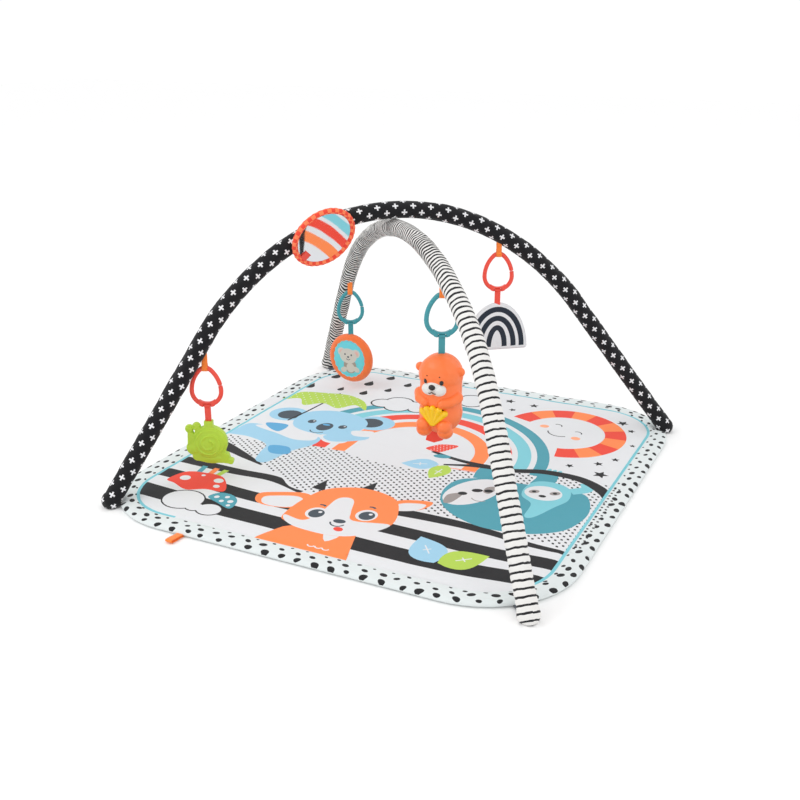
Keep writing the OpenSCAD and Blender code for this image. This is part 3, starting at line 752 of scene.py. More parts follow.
def draw_horned_animal(art, panel):
    """An orange horned animal with a white muzzle, in the middle of the front edge."""
    coat = art.patch("orange", [(-78, -366), (-56, -322), (-40, -308), (55, -300), (75, -366)])
    art.shape("white", [(8, -308), (22, -334), (34, -310)], 3, within=coat)
    for x, y, lean in ((-72, -168, -4), (0, -142, 2)):
        art.patch("black", [(x - 13, y - 22), (x + 13, y - 26), (x + lean, y + 14)])
    left = [(-150, -244), (-128, -228), (-84, -212), (-62, -226), (-72, -262), (-112, -274), (-140, -268)]
    right = [(52, -188), (70, -166), (108, -154), (114, -166), (102, -190), (66, -206)]
    for ear, heart in ((left, (-108, -252)), (right, (84, -184))):
        art.shape("orange", ear, 5)
        lining = [Vector(p).lerp(Vector(heart), 0.28) + Vector((2, -4)) for p in ear]
        art.shape("white", lining, 5)
    head = [(-76, -292), (-76, -236), (-60, -186), (-18, -160), (30, -160), (66, -182), (88, -246),
            (62, -292), (28, -314), (-30, -316), (-62, -306)]
    art.shape("orange", head, 6)
    muzzle = [(-74, -288), (-40, -292), (-28, -262), (-28, -212), (-16, -198), (0, -204), (14, -240),
              (30, -262), (86, -250), (64, -292), (26, -314), (-30, -316), (-62, -306)]
    art.shape("white", muzzle, 6)
    for x, y in ((-33, -264), (40, -238)):
        art.oval("white", x, y, 17, 18)
        art.oval("slate", x + 1, y - 1, 12.5, 13.5)
        art.oval("white", x + 4.5, y + 5, 3.2, 3.2, 0, 10)
        art.arc("slate", 4, x - 4, y + 20, 8, 40, 125, 6)
    art.oval("red", 22, -294, 8, 6, -10)
    art.oval("slate", 12, -272, 10, 6, 8)
    art.arc("slate", 2.6, 12, -276, 12, 195, 345, 10)
    for k in range(3):
        art.arc("white", 2.2, 10 + 12 * k, -350, 6, 200, 340, 6)


def draw_mushrooms(art):
    """Two spotted mushrooms, red and teal, with little cloth tabs over the red one."""
    for ink, x, lean in (("teal", -284, -6), ("orange", -263, -3), ("green", -249, 2)):
        art.patch(ink, [(x - 5, -222), (x + 5, -222), (x + 5 + lean, -193), (x - 5 + lean, -193)])
    for ink, grow in (("black", 2.5), ("white", 0)):
        for x, y, rx, ry in ((-246, -312, 34, 30), (-189, -324, 20, 17), (-215, -326, 14, 12)):
            art.oval(ink, x, y, rx + grow, ry + grow)
    cap = smooth_line([(-316, -262), (-306, -226), (-272, -216), (-238, -218), (-212, -244), (-206, -264),
                       (-236, -268), (-264, -282), (-296, -270)], 6, closed=True)
    hat = art.patch("red", cap)
    for x, y, r in ((-292, -246, 10), (-235, -233, 9), (-226, -252, 6), (-270, -226, 4)):
        art.oval("white", x, y, r, r * 0.85, -20, within=hat)
    small = [(-216, -288), (-206, -268), (-182, -268), (-164, -284), (-162, -308), (-190, -300)]
    hood = art.shape("teal", small, 6)
    for x, y, r in ((-203, -283, 4.5), (-187, -277, 4), (-174, -288, 5), (-188, -292, 4), (-170, -300, 3.5)):
        art.oval("white", x, y, r, r, 0, 12, within=hood)


def draw_leaves(art):
    leaves = (("sky", 33, -32, 64, 42, 200), ("green", 74, -48, 60, 36, 262),
              ("sky", 166, -292, 78, 56, 128), ("green", 224, -296, 76, 52, 40))
    for ink, x, y, length, width, turn in leaves:
        art.patch(ink, leaf(x, y, length, width, turn))
        spine = Matrix.Rotation(math.radians(turn), 2)
        middle = Vector((x, y))
        art.patch("white", stroke([middle + spine @ Vector((-12, 0)), middle + spine @ Vector((12, 0))], 2))
        art.patch("white", stroke([middle + spine @ Vector((0, -6)), middle + spine @ Vector((0, 6))], 2))
    small_leaf = [(14, 32), (36, 26), (46, 30), (62, 66), (34, 62), (22, 50)]
    flecked = art.shape("red", small_leaf, 4)
    for row in range(5):
        for column in range(6):
            x, y = 24 + 6 * column + 3 * (row % 2), 32 + 7 * row
            art.oval("white", x, y, 0.9, 1.6, 0, 6, within=flecked)


def mat_artwork():
    art = Artwork("mint", mat_outline())
    panel_outline = rounded_outline(MAT_W / 2 - PANEL_INSET, MAT_D / 2 - PANEL_INSET, PANEL_CORNER)
    panel = art.patch("white", panel_outline)
    draw_border_spots(art, panel)
    draw_stripes(art, panel)
    draw_dash_band(art, panel)
    draw_rainbow(art, panel)
    draw_cloud(art, -122, 212, 1.0)
    draw_cloud(art, -2, 292, 0.85)
    draw_sun(art)
    draw_stars(art)
    draw_raindrops(art)
    draw_blue_bear(art)
    draw_umbrella(art)
    draw_teal_animal(art, panel)
    draw_branch(art, panel)
    draw_leaves(art)
    draw_mushrooms(art)
    draw_horned_animal(art, panel)
    seam = [p for p, _ in resample(panel_outline, 12)]
    line = [p for p in seam if p.y > -330 or p.x < -215]
    start = next(k for k in range(len(line)) if (line[k] - line[k - 1]).length > 40)
    art.patch("aqua", stroke(line[start:] + line[:start], SEAM_LINE))
    return art


# ---------- The mat ----------
def edge_distance(x, y, inset, corner):
    """How far a point in metres lies inside a rounded rectangle, in metres."""
    qx = abs(x) - (MAT_W / 2 - inset - corner) * MM
    qy = abs(y) - (MAT_D / 2 - inset - corner) * MM
    outside = math.hypot(max(qx, 0), max(qy, 0))
    return corner * MM - outside - min(max(qx, qy), 0)


FEET = [Vector(foot) * MM for foot in ((-344, -365), (352, -388), (-377, 375), (362, 327))]


def mat_height(x, y, rise_at):
    """Height of the padded mat: a rolled edge, a puffy border, a sewn seam and a soft middle."""
    d = edge_distance(x, y, 0, MAT_CORNER)
    seam = abs(edge_distance(x, y, PANEL_INSET, PANEL_CORNER))
    roll = min(1.0, max(0.0, d) / (9 * MM))
    height = 4.6 * MM + 4.4 * MM * math.sqrt(max(0.0, 1 - (1 - roll) ** 2))
    groove = math.exp(-(seam / (3.5 * MM)) ** 2)
    pucker = math.exp(-(seam / (14 * MM)) ** 2) * hashed_noise(x * 55, y * 55, 3.0)
    swell = 0.5 * hashed_noise(x * 11, y * 11, 5.0) + 0.3 * hashed_noise(x * 26, y * 26, 9.0)
    height += (-2.0 * groove + 0.7 * pucker + swell * roll + rise_at(x, y)) * MM
    for foot in FEET:
        reach = (Vector((x, y)) - foot).length
        press = max(0.0, min(1.0, 1 - (reach - 14 * MM) / (12 * MM)))
        press = press * press * (3 - 2 * press)
        height += (3.6 * MM - height) * press
    return height


def mat_held(x, y):
    """True where the mat's cover is sewn down or pressed, at a point in millimetres."""
    near_foot = any((Vector((x, y)) * MM - foot).length < 40 * MM for foot in FEET)
    on_seam = abs(edge_distance(x * MM, y * MM, PANEL_INSET, PANEL_CORNER)) < 5 * MM
    return near_foot or on_seam or edge_distance(x * MM, y * MM, 0, MAT_CORNER) < 8 * MM


def make_mat():
    extra = []
    for inset in (0.8, 2, 3.5, 5.5, 8, 11, 15):
        extra += [p for p, _ in resample(mat_outline(inset), 6)]
    pitch = 7
    for i in range(int(MAT_W / pitch)):
        for j in range(int(MAT_D / pitch)):
            x, y = (i + 0.5) * pitch - MAT_W / 2, (j + 0.5) * pitch - MAT_D / 2
            if edge_distance(x * MM, y * MM, 0, MAT_CORNER) > 18 * MM:
                extra.append((x, y))
    rise_at = simulate_pad("mat_puff", MAT_W / 2, MAT_D / 2, 10, mat_held, 0.25, 4.0, 0.01)
    cover = printed_object("mat_cover", mat_artwork(), extra,
                           lambda x, y: (x, y, mat_height(x, y, rise_at)))
    add_underside(cover)
    dress(cover, "mat", "mat_cover", "mat_top_cover", "mat_bottom_cover", "mat_filling", fill=0.5)


def add_underside(cover):
    """Rolls the cover's edge under and closes it with a plain flat underside."""
    plain = len(cover.data.materials)
    cover.data.materials.append(ink_material("mint"))
    mesh = bmesh.new()
    mesh.from_mesh(cover.data)
    rim = rim_loop(mesh)
    for inset, z in ((0.6, 3.0), (2.2, 1.4), (5.0, 0.5), (9.0, 0.3)):
        below = [mesh.verts.new((*inner_point(vert.co, inset), z * MM)) for vert in rim]
        for k in range(len(rim)):
            face = mesh.faces.new((rim[k - 1], rim[k], below[k], below[k - 1]))
            face.material_index = plain
            face.smooth = True
        rim = below
    mesh.faces.new(rim).material_index = plain
    bmesh.ops.recalc_face_normals(mesh, faces=mesh.faces[:])
    mesh.to_mesh(cover.data)
    mesh.free()


def rim_loop(mesh):
    """The vertices round a mesh's one open edge, in order."""
    edge = next(e for e in mesh.edges if e.is_boundary)
    start, vert = edge.verts
    ring = [start]
    while vert != start:
        ring.append(vert)
        edge = next(e for e in vert.link_edges if e.is_boundary and e != edge)
        vert = edge.other_vert(vert)
    return ring


def inner_point(point, inset):
    """The point at an inset in millimetres from the mat's outline that is nearest to a rim point."""
    r = (MAT_CORNER - inset) * MM
    box_x, box_y = (MAT_W / 2 - MAT_CORNER) * MM, (MAT_D / 2 - MAT_CORNER) * MM
    core = Vector((min(max(point.x, -box_x), box_x), min(max(point.y, -box_y), box_y)))
    away = Vector((point.x, point.y)) - core
    return core + away.normalized() * r


# ---------- Arches ----------
PIVOT_Z = 10 * MM
ARCH_R = 14.5 * MM


class Arch:
    """An arch's centre line: half a crown arc, a flank arc and a straight leg on each side."""

    def __init__(self, foot_a, foot_b, height, lean, crown_r, crown_deg, leg_deg):
        a, b = Vector(foot_a) * MM, Vector(foot_b) * MM
        self.half_span = (b - a).length / 2
        self.height = height * MM
        self.crown_r = crown_r * MM
        self.crown_t = math.radians(crown_deg)
        self.leg_t = math.radians(leg_deg)
        chord = (b - a).normalized()
        side = Vector((-chord.y, chord.x, 0))
        tilt = math.radians(lean)
        self.middle = Vector((*((a + b) / 2), PIVOT_Z))
        self.u_axis = Vector((*chord, 0))
        self.w_axis = side * math.sin(tilt) + Vector((0, 0, math.cos(tilt)))
        self.normal = self.u_axis.cross(self.w_axis)
        self.end1 = self.crown_r * (self.outward(self.crown_t) - Vector((0, 1))) + Vector((0, self.height))
        rest = Vector((self.half_span, 0)) - self.end1
        run = self.outward(self.leg_t) - self.outward(self.crown_t)
        leg = self.along(self.leg_t)
        self.flank_r = self.cross(rest, leg) / self.cross(run, leg)
        self.leg_len = self.cross(run, rest) / self.cross(run, leg)
        self.end2 = self.end1 + self.flank_r * run
        self.crown_len = self.crown_r * self.crown_t
        self.flank_len = self.flank_r * (self.leg_t - self.crown_t)
        self.half_len = self.crown_len + self.flank_len + self.leg_len

    @staticmethod
    def outward(t):
        return Vector((math.sin(t), math.cos(t)))

    @staticmethod
    def along(t):
        return Vector((math.cos(t), -math.sin(t)))

    @staticmethod
    def cross(p, q):
        return p.x * q.y - p.y * q.x

    def station(self, s):
        """(point, tangent, outward normal) at a distance s along the arch from its crown."""
        a = abs(s)
        if a <= self.crown_len:
            t = a / self.crown_r
            p = Vector((0, self.height)) + self.crown_r * (self.outward(t) - Vector((0, 1)))
        elif a <= self.crown_len + self.flank_len:
            t = self.crown_t + (a - self.crown_len) / self.flank_r
            p = self.end1 + self.flank_r * (self.outward(t) - self.outward(self.crown_t))
        else:
            t = self.leg_t
            p = self.end2 + (a - self.crown_len - self.flank_len) * self.along(t)
        sign = -1 if s < 0 else 1
        point = self.middle + self.u_axis * (sign * p.x) + self.w_axis * p.y
        tangent = self.u_axis * math.cos(t) - self.w_axis * (sign * math.sin(t))
        outward = self.u_axis * (sign * math.sin(t)) + self.w_axis * math.cos(t)
        return point, tangent, outward


BLACK = Arch((-344, -365), (362, 327), 421, 12.8, 366, 30, 55)
STRIPED = Arch((352, -388), (-377, 375), 385, -1.5, 540, 28, 55)


def tube_mesh(name, arch, cloth, step, sides, ripple, stripes=None):
    """A sleeve along an arch. ripple(s, angle) is its extra radius."""
    reach = arch.half_len + 1.0 * MM
    count = int(2 * reach / step)
    verts, uvs = [], []
    for i in range(count + 1):
        s = -reach + 2 * reach * i / count
        point, _, outward = arch.station(s)
        near_end = min(1.0, (reach - abs(s)) / (12 * MM))
        for j in range(sides):
            angle = math.tau * j / sides
            r = ARCH_R + ripple(s, angle) * near_end
            verts.append(point + outward * (r * math.cos(angle)) + arch.normal * (r * math.sin(angle)))
            uvs.append((s, angle * ARCH_R))
    thing = new_object(name, verts, grid_faces(count + 1, sides, True), [cloth])
    add_cloth_maps(thing, uvs, sides, stripes)
    return thing


def add_cloth_maps(thing, uvs, sides, stripes):
    """The unrolled coordinates of a tube, and its stripe count if it has stripes."""
    layer = thing.data.uv_layers.new(name="cloth")
    for loop in thing.data.loops:
        layer.data[loop.index].uv = uvs[loop.vertex_index]
    unwrap_seam(thing.data, layer, sides)
    if stripes:
        counted = thing.data.uv_layers.new(name="stripes")
        plain = thing.data.uv_layers["cloth"]
        for k in range(len(counted.data)):
            s, round_ = plain.data[k].uv
            counted.data[k].uv = (stripes(s, round_ / ARCH_R), round_ / (8 * MM))


def unwrap_seam(mesh, layer, sides):
    """Carries the coordinate round a tube past a full turn on the faces that close it."""
    around = math.tau * ARCH_R
    for polygon in mesh.polygons:
        loops = list(polygon.loop_indices)
        if any(mesh.loops[k].vertex_index % sides == sides - 1 for k in loops):
            for k in loops:
                if mesh.loops[k].vertex_index % sides == 0:
                    u, v = layer.data[k].uv
                    layer.data[k].uv = (u, v + around)


def hashed_noise(x, y, z=0.0):
    return noise.noise(Vector((x, y, z)))


PULLED_IN = 0.4 * MM


def away_from_crossing(s):
    """0 where the two arches pass close to each other, near their crowns, and 1 elsewhere."""
    return min(1.0, max(0.0, (abs(s) - 40 * MM) / (50 * MM)))


MIRROR_S = -133 * MM


def black_ripple(s, angle):
    """Soft, uneven slack in a smooth sleeve, less of it underneath and where the mirror's band holds it."""
    loose = 1 - 0.7 * max(0.0, -math.cos(angle))
    loose *= 0.2 + 0.8 * min(1.0, abs(s - MIRROR_S) / (80 * MM))
    slack = 1.3 * loose * MM * hashed_noise(s * 24, math.cos(angle) * 1.2, math.sin(angle) * 1.2)
    fine = 0.4 * MM * hashed_noise(s * 90, math.cos(angle) * 2.2, math.sin(angle) * 2.2)
    calm = away_from_crossing(s)
    return (slack + fine) * calm - PULLED_IN * (1 - calm)


LOOSE_STRIPE, TIGHT_STRIPE = 10.4 * MM, 7.4 * MM


def gathering(s):
    """0 where the striped sleeve lies loose, 1 where it is gathered: over the crown and down the back leg."""
    k = min(1.0, max(0.0, (s + 0.36) / 0.33))
    return k * k * (3 - 2 * k)


def stripe_period(s):
    return LOOSE_STRIPE + (TIGHT_STRIPE - LOOSE_STRIPE) * gathering(s)


def stripe_table(reach, step=1 * MM):
    """Running count of stripes along the arch, as (positions, counts)."""
    places = np.arange(-reach, reach + step, step)
    rates = np.array([1 / stripe_period(s) for s in places])
    return places, np.concatenate([[0], np.cumsum((rates[1:] + rates[:-1]) / 2 * step)])


def make_sleeves():
    plus = plus_cloth("black_plus_cloth", math.tau * ARCH_R)
    black = tube_mesh("black_sleeve_cloth", BLACK, plus, 3 * MM, 40, black_ripple)
    dress(black, "black_arch", "black_cloth", "black_sleeve", fill=0.9)
    places, counts = stripe_table(STRIPED.half_len + 20 * MM)

    def stripes_at(s, angle):
        """Stripes passed by s. They run less straight where the cloth is gathered."""
        ragged = 0.9 * gathering(s) * hashed_noise(s * 34, math.cos(angle) * 1.1, math.sin(angle) * 1.1)
        return float(np.interp(s, places, counts)) + ragged

    def gathers(s, angle):
        """A fold between each pair of stripes, deeper where the cloth is gathered."""
        fold = math.cos(math.tau * stripes_at(s, angle))
        slack = 0.8 * MM * hashed_noise(s * 30, math.cos(angle) * 1.5 + 7, math.sin(angle) * 1.5)
        calm = away_from_crossing(s)
        folded = slack - (0.35 + 0.25 * gathering(s)) * MM * fold
        return folded * (0.3 + 0.7 * calm) - PULLED_IN * (1 - calm)

    gathered = striped_cloth("gathered_stripes", stripes_at(-0.4, 0), stripes_at(-0.1, 0))
    striped = tube_mesh("striped_sleeve_cloth", STRIPED, gathered, 1.1 * MM, 48, gathers, stripes_at)
    dress(striped, "striped_arch", "striped_cloth", "striped_sleeve", fill=0.9)
    arches = ((BLACK, plus, "black", None), (STRIPED, gathered, "striped", stripes_at))
    for arch, cloth, body, along in arches:
        for sign, end in ((-1, "front"), (1, "back")):
            ball = end_ball(f"{body}_sleeve_end_{end}", arch, cloth, sign, along)
            dress(ball, "mat", body + "_cloth", fill=0.5)


def end_ball(name, arch, cloth, sign, stripes):
    """The gathered end of a sleeve, round the pivot in the mat's corner and flat on the floor."""
    radius, rings, sides = 15.6 * MM, 14, 40
    pivot, tangent, outward = arch.station(sign * arch.half_len)
    verts, uvs = [], []
    for i in range(rings + 1):
        turn = math.radians(70 + 110 * i / rings)
        for j in range(sides):
            angle = math.tau * j / sides
            pleat = 1 + 0.016 * (1 + math.sin(13 * angle)) * math.sin(turn) ** 0.5 * (i / rings)
            across = outward * math.cos(angle) + arch.normal * math.sin(angle)
            place = pivot + (across * math.sin(turn) * pleat - tangent * (sign * math.cos(turn))) * radius
            place.z = max(place.z, 0.5 * MM)
            verts.append(place)
            uvs.append((sign * (arch.half_len + radius * (turn - math.pi / 2)), angle * ARCH_R))
    thing = new_object(name, verts, grid_faces(rings + 1, sides, True), [cloth])
    add_cloth_maps(thing, uvs, sides, stripes)
    return thing


# ---------- Soft solids ----------
class Balls:
    """Ellipsoids gathered into one mesh, in millimetres and degrees."""

    def __init__(self):
        ball = bmesh.new()
        bmesh.ops.create_icosphere(ball, subdivisions=3, radius=1)
        self.unit = np.array([v.co for v in ball.verts])
        self.unit_faces = np.array([[v.index for v in f.verts] for f in ball.faces])
        ball.free()
        self.points, self.faces = [], []

    def blob(self, centre, radii, turn=(0, 0, 0)):
        spin = np.array(Euler([math.radians(a) for a in turn]).to_matrix())
        self.faces.append(self.unit_faces + len(self.points) * len(self.unit))
        self.points.append(((self.unit * np.array(radii)) @ spin.T + np.array(centre)) * MM)

    def rope(self, path, radius, end_radius=None):
        """A chain of overlapping balls along a path."""
        end_radius = radius if end_radius is None else end_radius
        points = [Vector(p) for p in path]
        total = sum((b - a).length for a, b in zip(points, points[1:]))
        count = max(2, math.ceil(total / (0.5 * min(radius, end_radius))))
        run, k = 0.0, 0
        for i in range(count + 1):
            s = total * i / count
            while k < len(points) - 2 and run + (points[k + 1] - points[k]).length < s:
                run += (points[k + 1] - points[k]).length
                k += 1
            span = (points[k + 1] - points[k]).length
            r = radius + (end_radius - radius) * i / count
            self.blob(points[k].lerp(points[k + 1], min(1.0, (s - run) / span)), (r, r, r))


def moulding(name, extras, material, place, nodes=(), voxel=0.8, rounds=5, swell=0.0):
    """One rounded body fused from CAD nodes and from the balls that extras(balls) draws in the frame place.
    Rounding thins it a little, and swell, in millimetres, puts that back."""
    balls = Balls()
    if extras:
        extras(balls)
    data = bpy.data.meshes.new(name)
    if balls.points:
        data.from_pydata(np.concatenate(balls.points).tolist(), [], np.concatenate(balls.faces).tolist())
        data.transform(place)
    mesh = bmesh.new()
    mesh.from_mesh(data)
    for node in nodes:
        mesh.from_mesh(NODES[node].data)
    mesh.to_mesh(data)
    mesh.free()
    thing = bpy.data.objects.new(name, data)
    bpy.context.collection.objects.link(thing)
    fuse = thing.modifiers.new("fuse", "REMESH")
    fuse.mode = "VOXEL"
    fuse.voxel_size = voxel * MM
    even = thing.modifiers.new("even", "SMOOTH")
    even.factor = 0.5
    even.iterations = rounds
    grow = thing.modifiers.new("grow", "DISPLACE")
    grow.strength = swell * MM
    grow.mid_level = 0
    apply_modifiers(thing)
    thing.data.materials.clear()
    thing.data.materials.append(material)
    return thing


def at_ribbon(name):
    """The frame of a ring's ribbon: x along the ring's face, y behind it and z up."""
    point = HANGERS[name][0]
    return Matrix.Translation(Vector(point) * MM) @ Matrix.Rotation(math.radians(RING_TURN), 4, "Z")


def at_toy(name, middle=0.0):
    """The frame of a hanging toy: x along its face, y behind it, z up, and middle mm below its top."""
    point, drop, turn = HANGERS[name]
    top = Matrix.Translation((Vector(point) - Vector((0, 0, drop + middle))) * MM)
    return top @ Matrix.Rotation(math.radians(turn), 4, "Z")


# Where each ribbon leaves its arch, how far each toy's top hangs below that, and the toy's turn in degrees
HANGERS = {
    "snail": ((-259.2, -217.0, 214.0), 116.6, 26),
    "crinkle": ((86.6, 166.7, 354.9), 103.6, 38),
    "animal": ((108.3, -119.9, 353.7), 108.6, 2),
    "disc": ((-254.8, 255.3, 227.6), 103.6, -4),
}
RING_TURN = 26
WIRE_DROP = 17.5
WIRE_R = 3.5


# ---------- Ribbons ----------
def ribbon_strip(name, path, width, thickness, place, material):
    """A ribbon whose edge follows a path in the frame's y-z plane, in mm. Its width lies along x."""
    points = smooth_line(path, 5)
    columns = 6
    verts = []
    for i, p in enumerate(points):
        before, after = points[max(i - 1, 0)], points[min(i + 1, len(points) - 1)]
        way = (after - before).normalized()
        off = Vector((-way.y, way.x)) * thickness / 2
        half = width / 2 * (1 + 0.03 * math.sin(i * 0.9))
        for side in (1, -1):
            for j in range(columns + 1):
                t = 2 * j / columns - 1
                edge = p + off * side * (1 if abs(t) < 0.95 else 0.35)
                verts.append(Vector((t * half, edge.x, edge.y)) * MM)
    ring = 2 * (columns + 1)
    order = list(range(columns + 1)) + list(range(ring - 1, columns, -1))
    faces = []
    for i in range(len(points) - 1):
        for a, b in zip(order, order[1:] + order[:1]):
            faces.append((i * ring + a, i * ring + b, (i + 1) * ring + b, (i + 1) * ring + a))
    faces.append(tuple(order[::-1]))
    faces.append(tuple((len(points) - 1) * ring + k for k in order))
    thing = new_object(name, verts, faces, [material])
    thing.data.transform(place)
    return thing


def make_loops(satin):
    """Folded ribbons under the arches that carry the rings."""
    eye = WIRE_R + 0.9
    path = [(-0.6, 7), (-0.65, -8), (-1.4, -11.4), (-eye, -WIRE_DROP + 1), (-eye, -WIRE_DROP - 1.6),
            (-eye * 0.72, -WIRE_DROP - 4.4), (0, -WIRE_DROP - 5.5), (eye * 0.72, -WIRE_DROP - 4.4),
            (eye, -WIRE_DROP - 1.6), (eye, -WIRE_DROP + 1), (1.4, -11.4), (0.65, -8), (0.6, 7)]
    for name in HANGERS:
        arch = "black" if name in ("snail", "crinkle") else "striped"
        loop = ribbon_strip("ribbon_" + name, path, 9.5, 1.0, at_ribbon(name), satin)
        dress(loop, arch + "_arch", "orange_ribbon", "loop_" + name)


def make_mat_tab(satin):
    path = [(6, 1.2), (-4, 1.3), (-16, 1.1), (-23, 1.6), (-25.5, 3.4), (-23, 5.4), (-16, 5.2), (-4, 4.4),
            (6, 4.4)]
    place = Matrix.Translation(Vector((-186, -400, 0)) * MM) @ Matrix.Rotation(math.radians(-4), 4, "Z")
    tab = ribbon_strip("ribbon_mat", path, 12, 1.0, place, satin)
    dress(tab, "mat", "orange_ribbon", "mat_ribbon_tab")


# ---------- Rings and straps ----------
def make_rings():
    colours = {"snail": "red", "crinkle": "red", "animal": "teal", "disc": "teal"}
    gloss = {"red": moulded("red_gloss", INKS["red"], 0.28),
             "teal": moulded("teal_gloss", (0.04, 0.3, 0.35), 0.28)}
    for name, colour in colours.items():
        ring = moulding("link_" + name, None, gloss[colour], Matrix(), ["ring_" + name], 0.55, 14, 0.2)
        dress(ring, name + "_ring", colour + "_plastic", "ring_" + name)
        use("strap_" + name, gloss[colour])
        round_edges("strap_" + name, 0.4)


def round_edges(node, width, segments=3):
    """Rounds a CAD node's sharp edges by a few tenths of a millimetre."""
    bevel = NODES[node].modifiers.new("round_edges", "BEVEL")
    bevel.width = width * MM
    bevel.segments = segments
    bevel.limit_method = "ANGLE"
    bevel.angle_limit = math.radians(40)
    bevel.harden_normals = False


# ---------- Snail ----------
SNAIL_R = 29


def make_snail():
    def shell(balls):
        balls.blob((0, 0, 0), (29.3, 11.2, 29.3))
        for x, z in ((-32, 24), (-20, 28)):
            balls.blob((x, 0, z), (7.2, 7.2, 7.2))
            balls.rope([(x, 0, z), (x + 7, 0, -4)], 4.6, 7)
        balls.blob((-26, 0, -10), (13, 8, 13))
        balls.blob((4, 0, -27), (26, 7.5, 10.5))
        for side in (-1, 1):
            spiral = []
            for k in range(90):
                turn = k / 89 * 2.2 * math.tau
                r = 25.5 - 20 * k / 89
                depth = 11.0 * math.sqrt(1 - (r / 29.4) ** 2)
                spiral.append((r * math.cos(turn), side * depth, r * math.sin(turn)))
            balls.rope(spiral, 1.9)

    green = rubbery("green_teether", (0.48, 0.7, 0.05))
    snail = moulding("snail_body", shell, green, at_toy("snail", SNAIL_R), ["snail_teether"], 0.7, 4)
    dress(snail, "snail_toy", "green_rubber", "snail_teether")


# ---------- Sewn toys ----------
def pillow(name, art, extra, half_height, place, back_ink):
    """A stuffed shape: the artwork on its front, facing -y, and plain cloth on its back."""
    front = printed_object(name, art, extra, lambda x, y: (x, -half_height(x, y), y))
    front.data.materials.append(back_ink)
    plain = len(front.data.materials) - 1
    mesh = bmesh.new()
    mesh.from_mesh(front.data)
    made = bmesh.ops.duplicate(mesh, geom=mesh.verts[:] + mesh.edges[:] + mesh.faces[:])["geom"]
    for part in made:
        if isinstance(part, bmesh.types.BMVert):
            part.co.y = -part.co.y
        if isinstance(part, bmesh.types.BMFace):
            part.material_index = plain
    bmesh.ops.remove_doubles(mesh, verts=mesh.verts, dist=0.02 * MM)
    bmesh.ops.recalc_face_normals(mesh, faces=mesh.faces)
    for face in mesh.faces:
        face.smooth = True
    mesh.to_mesh(front.data)
    mesh.free()
    front.data.transform(place)
    return front


def grid_points(half_w, low, high, pitch, wanted):
    """Grid points in millimetres where wanted(x, y) is true."""
    points = []
    for i in range(int(2 * half_w / pitch) + 1):
        for j in range(int((high - low) / pitch) + 1):
            x, y = -half_w + i * pitch, low + j * pitch
            if wanted(x, y):
                points.append((x, y))
    return points


def puff_profile(depth, edge, full):
    """Half thickness at a depth inside the outline of something stuffed whose edge is rounded."""
    k = min(1.0, max(0.0, depth / edge))
    return full * math.sqrt(max(0.0, 1 - (1 - k) ** 2))


CRINKLE_W, CRINKLE_H = 57, 86
CRINKLE_CORNER = 5


def crinkle_depth(x, y):
    """Distance inside the half-round outline of a point above the middle of its base, in millimetres."""
    scaled = math.hypot(x / CRINKLE_W, y / CRINKLE_H)
    slope = math.hypot(x / CRINKLE_W ** 2, y / CRINKLE_H ** 2)
    side = (1 - scaled) * scaled / max(slope, 1e-9)
    if side < CRINKLE_CORNER and y < CRINKLE_CORNER:
        return CRINKLE_CORNER - math.hypot(CRINKLE_CORNER - side, CRINKLE_CORNER - y)
    return min(side, y)


def crinkle_outline():
    """Half an oval over a straight edge, with rounded bottom corners, anticlockwise from its lower right."""
    corner = []
    for k in range(6):
        a = math.radians(18 * k)
        inwards = Vector((math.sin(a) - 1, 1 - math.cos(a))) * CRINKLE_CORNER
        corner.append(Vector((CRINKLE_W, 0)) + inwards)
    first = math.asin(CRINKLE_CORNER / CRINKLE_H)
    turns = [first + (math.pi - 2 * first) * k / 44 for k in range(1, 44)]
    dome = [Vector((CRINKLE_W * math.cos(a), CRINKLE_H * math.sin(a))) for a in turns]
    return corner + dome + [Vector((-p.x, p.y)) for p in reversed(corner)]


def crinkle_held(x, y):
    """True near the toy's sewn edge, at a point in millimetres from the toy's middle."""
    return crinkle_depth(x, y + CRINKLE_H / 2) < 4


def make_crinkle(simulated):
    """A half-round toy in crackling cloth with three dark arches on its face."""
    base = Vector((0, -CRINKLE_H / 2))
    art = Artwork("white", [p + base for p in crinkle_outline()])
    for half_w, height in ((46, 68), (31, 52), (14.5, 35)):
        turns = [math.pi * k / 32 for k in range(33)]
        arch = [base + Vector((half_w * math.cos(a), 6 + height * math.sin(a))) for a in turns]
        art.patch("charcoal", stroke(arch, 9.4))
    extra = grid_points(CRINKLE_W, -CRINKLE_H / 2, CRINKLE_H / 2, 2.5,
                        lambda x, y: crinkle_depth(x, y - base.y) > 1)

    def half_height(x, y):
        depth = crinkle_depth(x / MM, y / MM - base.y)
        if depth < 0.3:
            return 0.0
        seam = math.exp(-((depth - 3.5) / 1.2) ** 2)
        wave = 0.5 * hashed_noise(x * 60, y * 60, 2.0) * min(1, depth / 6)
        return (puff_profile(depth, 3, 2.2) + simulated(x, y) - 0.7 * seam + wave) * MM

    place = at_toy("crinkle", CRINKLE_H / 2)
    toy = pillow("crinkle_half_round", art, extra, half_height, place, ink_material("charcoal"))
    dress(toy, "crinkle_toy", "white_cloth", "crinkle_front", "crinkle_film", "crinkle_back", fill=0.4)


DISC_R = 50


def disc_held(x, y):
    """True on the disc's edge and on the seam round its window."""
    r = math.hypot(x, y)
    return abs(r - 35.5) < 2 or r > DISC_R - 4


